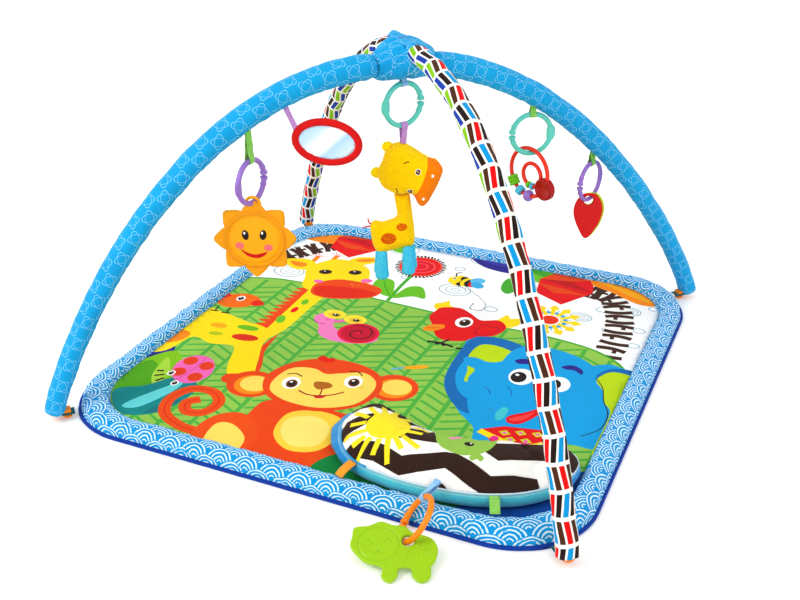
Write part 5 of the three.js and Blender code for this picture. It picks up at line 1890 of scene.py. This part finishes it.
def pillow(mats):
    outline = resample(spline(PILLOW, True, 8), 5.0, True)
    seam = 41.0

    def top(p, d):
        t = np.minimum(d / 66.0, 1)
        crown = 27.0 * (1 - (1 - t) ** 2.4) ** 0.7
        ripple = np.array([noise.noise(Vector((x * 0.03, y * 0.03,
                                               2))) + 0.7 * noise.noise(Vector((x * 0.09, y * 0.09,
                                                   5))) for x, y in p])
        pucker = np.sin(p[:, 0] * 0.55 + 2 * np.sin(p[:, 1] * 0.06)) * 1.5 * np.exp(-d / 10)
        return seam + crown + ripple * 1.6 * np.minimum(d / 10, 1) + pucker * np.minimum(d / 2, 1)

    art = pillow_print()
    inset = np.clip((140 - outline[:, 0]) / 120, 0, 1)[:, None] * np.array([21.0, -9.0])
    crown_line = outline + inset
    v, f, colour = art_mesh(crown_line, art, (250, 248, 244), 6.0, (1.5, 3.5))
    d = edge_distance(crown_line, v)
    rim = d < 1e-3
    z = top(v, d)
    z[rim] = seam
    # gusset: the side bulges out between two seams, then the base lies flat
    t = np.roll(outline, -1, 0) - np.roll(outline, 1, 0)
    t /= np.linalg.norm(t, axis=1)[:, None]
    area = np.sum(outline[:, 0] * np.roll(outline[:, 1], -1) - np.roll(outline[:, 0], -1) * outline[:, 1])
    n = np.stack([t[:, 1], -t[:, 0]], axis=1) * (1 if area > 0 else -1)
    rows = []
    for out, zz in ((-1.6, seam + 0.6), (0.6, seam + 1.4), (1.8, seam + 0.2), (1.2, seam - 1.4), (0.4,
        seam - 2.0), (2.6, 36.0), (3.9, 30.0), (3.4, 24.0),
                    (1.2, 18.5), (-2.6, 14.6), (-7.0, 13.2), (-14.0, 13.0)):
        q = outline + inset * np.clip((zz - 26) / 13, 0, 1) + n * out
        crease = np.array([noise.noise(Vector((x * 0.05, y * 0.05, zz * 0.03))) for x, y in q])
        q = q + n * (crease * (1.6 if zz < seam - 3 else 0.2))[:, None]
        rows.append(np.column_stack([q, np.full(len(q), zz) + (crease * 0.8 if 14 < zz < seam - 3 else 0)]))
    rings = np.array(rows).transpose(1, 0, 2) * MM
    nv = rings.shape[1]
    verts = rings.reshape(-1, 3)
    faces, cols = [], []
    blue_pipe = (56, 160, 216)
    pipe, upper, lower, base = (214, 232, 240), (30, 150, 212), (100, 196, 208), (16, 116, 180)
    m = len(outline)
    for i in range(m):
        i2 = (i + 1) % m
        for j in range(nv - 1):
            faces.append((i * nv + j, i * nv + j + 1, i2 * nv + j + 1, i2 * nv + j))
            x = outline[i][0]
            front = np.clip((x - 60) / 60, 0, 1) * (outline[i][1] < -330)
            side = np.array(upper) * (1 - front) + np.array(lower) * front
            pale = np.array((120, 186, 226)) * (1 - front) + np.array((150, 216, 220)) * front
            piping = pipe if x > 110 else blue_pipe
            cloth_colour = pale if j < 5 else side if j < 8 else np.array(base)
            c = piping if j < 4 else cloth_colour
            cols += [lin(c)] * 4
    k = len(verts)
    verts = np.vstack([verts, [[0.205, -0.324, 0.013]]])
    for i in range(m):
        i2 = (i + 1) % m
        faces.append((i * nv + nv - 1, k, i2 * nv + nv - 1))
        cols += [lin(base)] * 3
    if area < 0:
        faces = [tuple(q[::-1]) for q in faces]
    gusset = piece("pillow_gusset", verts, faces, mats["gusset"], "pillow", ["pillow_body"],
                   "pillow_side_fabric", colours=cols)
    verts = np.vstack([np.column_stack([v, z])]) * MM
    # a flat lining under the crown closes the print's shell
    nn = len(verts)
    low = np.column_stack([v, np.full(len(v), seam - 0.2)]) * MM
    index = np.where(rim, np.arange(nn), nn + np.arange(nn))
    verts = np.vstack([verts, low])
    faces = [tuple(t) for t in f] + [tuple(index[t][::-1]) for t in f]
    cols = [c for c in np.vstack([colour, colour]) for _ in range(3)]
    shell = piece("pillow_print_top", verts, faces, mats["pillow_print"], "pillow", ["pillow_top"],
                  "pillow_print_fabric", colours=cols)
    puff(shell, 0.006, 4.0, 0.004, 20, pin=lambda p: p[2] < 0.0415)
    for obj in (gusset, shell):
        ride(obj)

    for name, x, y, turn, mat, slot in (("pillow_tag_orange", 90, -393.5, -22, "r_orange", "ribbon_orange"),
                                        ("pillow_tag_green", 312, -385, 22, "r_green", "ribbon_green")):
        place = Matrix.Translation((x * MM, y * MM, 0.0385)) @ Matrix.Rotation(math.radians(turn), 4, "Z")
        rows = []
        for k in range(12):
            t = k / 11
            yy = 3 - 31 * t
            zz = -3.0 * t**2 * (3.4 if "orange" in name else 2.8)
            half = 7.6
            row = []
            for sgn in (1, -1):
                for q in range(8):
                    xx = (q / 7 - 0.5) * 2 * half * sgn
                    row.append((xx, yy, zz + sgn * (1.25 - 0.5 * abs(xx / half) ** 4 - (0.9 if k in (0,
                        11) else 0))))
            rows.append(row)
        rings = [[tuple(place @ (Vector(p) * MM)) for p in row] for row in rows]
        verts, faces, uv = loft(rings)
        ride(piece(name + "_fold", verts, faces, mats[mat], "pillow", [name], slot, uv=uv))


def lion(mats):
    top = Vector((226, -440, 50)) * MM
    along = Vector((0.05, -0.91, -0.4)).normalized()
    up = -along
    side = Vector((up.y, -up.x, 0)).normalized()
    side = Matrix.Rotation(math.radians(-50), 3, up) @ side
    link_ring("lion_link", "link_ring_lion", "lion_ring", node_frame(top + along * RING_R * MM, side, up),
              mats["orange"], "orange_plastic", flip=True)
    back = Vector((-0.06, 1, -0.1))
    back = (back - side * side.dot(back)).normalized()
    seam = (Vector((1, 0, 0)) - back * back.x).normalized()
    turn = math.atan2(side.cross(seam).dot(back), side.dot(seam))
    ribbon_loop("pillow_link_loop", "pillow_loop", "pillow", node_frame(top, side, back), 37, 11,
                mats["r_sky"],
                "ribbon_sky", twist=turn)

    centre = top + along * 2 * RING_R * MM
    place = Matrix.Translation(centre) @ Matrix.Rotation(FACE, 4, "Z") @ Matrix.Rotation(math.radians(16),
        4, "X")
    pts = [[-74, 22], [-55, 25], [-37, 32], [-20, 26], [-4, 24], [6, 14], [20, 10], [34, 3],
           [41, -12], [37, -31], [31, -40], [30, -56], [18, -64], [6, -56], [3, -43], [-12, -43],
           [-15, -56], [-25, -64], [-36, -56], [-36, -41], [-58, -33], [-70, -22], [-79, -8], [-77, 8]]
    outline = resample(spline(pts, True, 6), 1.3, True)
    hole = ellipse(0, 0, 8.6, n=44)
    v, f, _ = art_mesh(outline, [(hole, (168, 212, 44))], (168, 212, 44), 1.05, (0.4, 1.0, 1.8))
    f = f[~inside(hole, v[f].mean(axis=1))]
    d = np.minimum(edge_distance(outline, v), edge_distance(hole, v))
    x, y = v[:, 0], v[:, 1]

    def line(q, w=0.8):
        return np.exp(-((q / w) ** 2))

    def seg(a, b, w=0.8):
        a, b = np.array(a, dtype=float), np.array(b, dtype=float)
        t = np.clip(((v - a) @ (b - a)) / ((b - a) @ (b - a)), 0, 1)
        return line(np.linalg.norm(v - (a + t[:, None] * (b - a)), axis=1), w)

    face = np.hypot((x + 40) / 28.5, (y + 5) / 27) - 1
    relief = -0.9 * line(face * 28, 1.1) + 0.5 * (face < 0) * (1 - np.exp(-np.abs(face) * 8))
    for ex, ey in ((-53, -3), (-27, -1)):
        ring = np.hypot(x - ex, y - ey)
        relief += -0.8 * line(ring - 4.2, 0.9) + 0.6 * np.exp(-(ring / 2.4) ** 2)
    relief += 0.8 * np.exp(-(((x + 40) / 4.5) ** 2 + ((y + 10) / 3) ** 2))
    for q in (((-40, -13), (-40, -17)), ((-40, -17), (-45, -20)), ((-40, -17), (-35, -20)), ((-45, -20),
        (-48, -18)), ((-35, -20), (-32, -18))):
        relief -= 0.8 * seg(*q)
    for k in range(8):
        a = k * PI / 4
        relief += 0.8 * seg((20 + 2 * math.cos(a), -15 + 2 * math.sin(a)), (20 + 12.5 * math.cos(a),
            -15 + 11 * math.sin(a)), 0.9)
    relief -= 0.7 * seg((3, -14), (-4, -36), 0.9)
    e = np.sqrt(np.clip(1 - (1 - np.minimum(d / 1.9, 1)) ** 2, 0, 1))
    zt = e * (3.0 + relief * np.minimum(d / 2, 1) * 1.25)
    zb = -e * 3.4
    n = len(v)
    verts = np.vstack([np.column_stack([v, zt]), np.column_stack([v, zb])]) * MM
    faces = [tuple(t) for t in f] + [tuple((t + n)[::-1]) for t in f]
    count = {(a, b) for t in f for a, b in ((t[0], t[1]), (t[1], t[2]), (t[2], t[0]))}
    faces += [(a, a + n, b + n, b) for a, b in count if (b, a) not in count]
    used = np.unique(np.array([i for t in faces for i in t]))
    new = np.full(2 * n, -1)
    new[used] = np.arange(len(used))
    faces = [tuple(new[list(t)]) for t in faces]
    verts = np.array([tuple(place @ Vector(p)) for p in verts[used]])
    ride(piece("lion_teether_body", verts, faces, mats["lion"], "lion", ["lion_teether"], "silicone_green"))


# ---- all ----------------------------------------------------------------------------------------
def materials():
    mirror_mat = Mat("mirror_film", 0.12, metallic=0.25, specular=0.8)
    # The mirror film's base colour is a painted reflection: pale blue-white, with a slanting band of painted
    # white highlight across the glass.
    middle = toy_frame(-0.214, 78, -72, -10)
    slope = middle.to_3x3() @ Vector((0.78, -0.62, 0))
    split = mirror_mat.node("ShaderNodeSeparateXYZ")
    mirror_mat.link(mirror_mat.coords("Object"), split.inputs[0])
    x, y, z = (S(mirror_mat.tree, split.outputs[k]) for k in range(3))
    centre = middle.translation
    t = (x - centre.x) * slope.x + (y - centre.y) * slope.y + (z - centre.z) * slope.z
    haze = mirror_mat.noise(14.0, 2.0)
    painted_reflection = mirror_mat.ramp(t * 10.0 + 0.5 + haze * 0.06, [
        (0.0, lin((176, 212, 240))), (0.30, lin((206, 230, 248))), (0.46, lin((255, 255, 255))),
        (0.56, lin((255, 255, 255))), (0.66, lin((186, 218, 244))), (1.0, lin((232, 244, 253)))], "LINEAR")
    mirror_mat.base(painted_reflection)
    mirror_mat.bump(haze, 0.12, 0.002)
    return {
        "orange": plastic("orange_moulding", lin((255, 148, 0))),
        "purple": plastic("purple_moulding", lin((164, 128, 204))),
        "teal": plastic("teal_moulding", lin((120, 212, 196)), 0.3),
        "red_plastic": plastic("red_moulding", lin((236, 60, 24)), 0.25, 0.4),
        "dark_red": plastic("dark_red_moulding", lin((176, 14, 20)), 0.3),
        "green": plastic("green_moulding", lin((126, 202, 46))),
        "sky": plastic("sky_moulding", lin((98, 198, 226))),
        "sun": plastic("sun_moulding", None, 0.5, 0.0, attribute=True),
        "sun_plain": plastic("sun_hook_moulding", lin((252, 180, 26)), 0.36, 0.2),
        "leaf_red": plastic("red_silicone", lin((222, 22, 26)), 0.42, 0.1),
        "leaf_green": plastic("lime_silicone", lin((204, 228, 30)), 0.42, 0.1),
        "lion": plastic("leaf_green_silicone", lin((166, 206, 62)), 0.42, 0.12),
        "plush_print": plush("yellow_plush", None, None, attribute=True),
        "plush_yellow": plush("yellow_plush_ear", lin((254, 216, 30)), lin((255, 236, 80))),
        "plush_blue": plush("blue_plush", lin((52, 184, 226)), lin((124, 220, 246))),
        "red_cloth": cloth("red_cloth", lin((214, 24, 30)), 0.6, 0.2, wrinkle=0.3),
        "mirror": mirror_mat.done(),
        "gusset": print_cloth("gusset_cloth", 0.6, 0.25),
        "pillow_print": print_cloth("pillow_print", 0.8, 0.05),
        "r_green": ribbon_material("green_ribbon", (112, 190, 62), (178, 224, 136)),
        "r_sky": ribbon_material("sky_ribbon", (128, 184, 228), (176, 214, 244)),
        "r_lilac": ribbon_material("lilac_ribbon", (186, 130, 200), (222, 178, 230)),
        "r_orange": ribbon_material("orange_ribbon", (244, 146, 20), (252, 178, 60)),
    }


def carried_over(mats):
    """Moulded CAD pieces keep their shape and get their plastic."""
    tube_blue = plastic("blue_tube", lin((10, 140, 200)), 0.5)
    for name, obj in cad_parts.items():
        if name.startswith("foot_"):
            material = mats["orange"]
        elif name.startswith(("pole_", "hub_lower", "hub_upper", "hub_pin")):
            material = tube_blue
        else:
            continue
        obj.data.materials.clear()
        obj.data.materials.append(material)


def main():
    stage()
    mats = materials()
    carried_over(mats)
    mat_parts()
    printed_panel()
    arches()
    webbing_tabs()
    rings_and_ribbons(mats)
    sun(mats)
    mirror(mats)
    giraffe(mats)
    rattle(mats)
    leaf(mats)
    pillow(mats)
    lion(mats)


main()
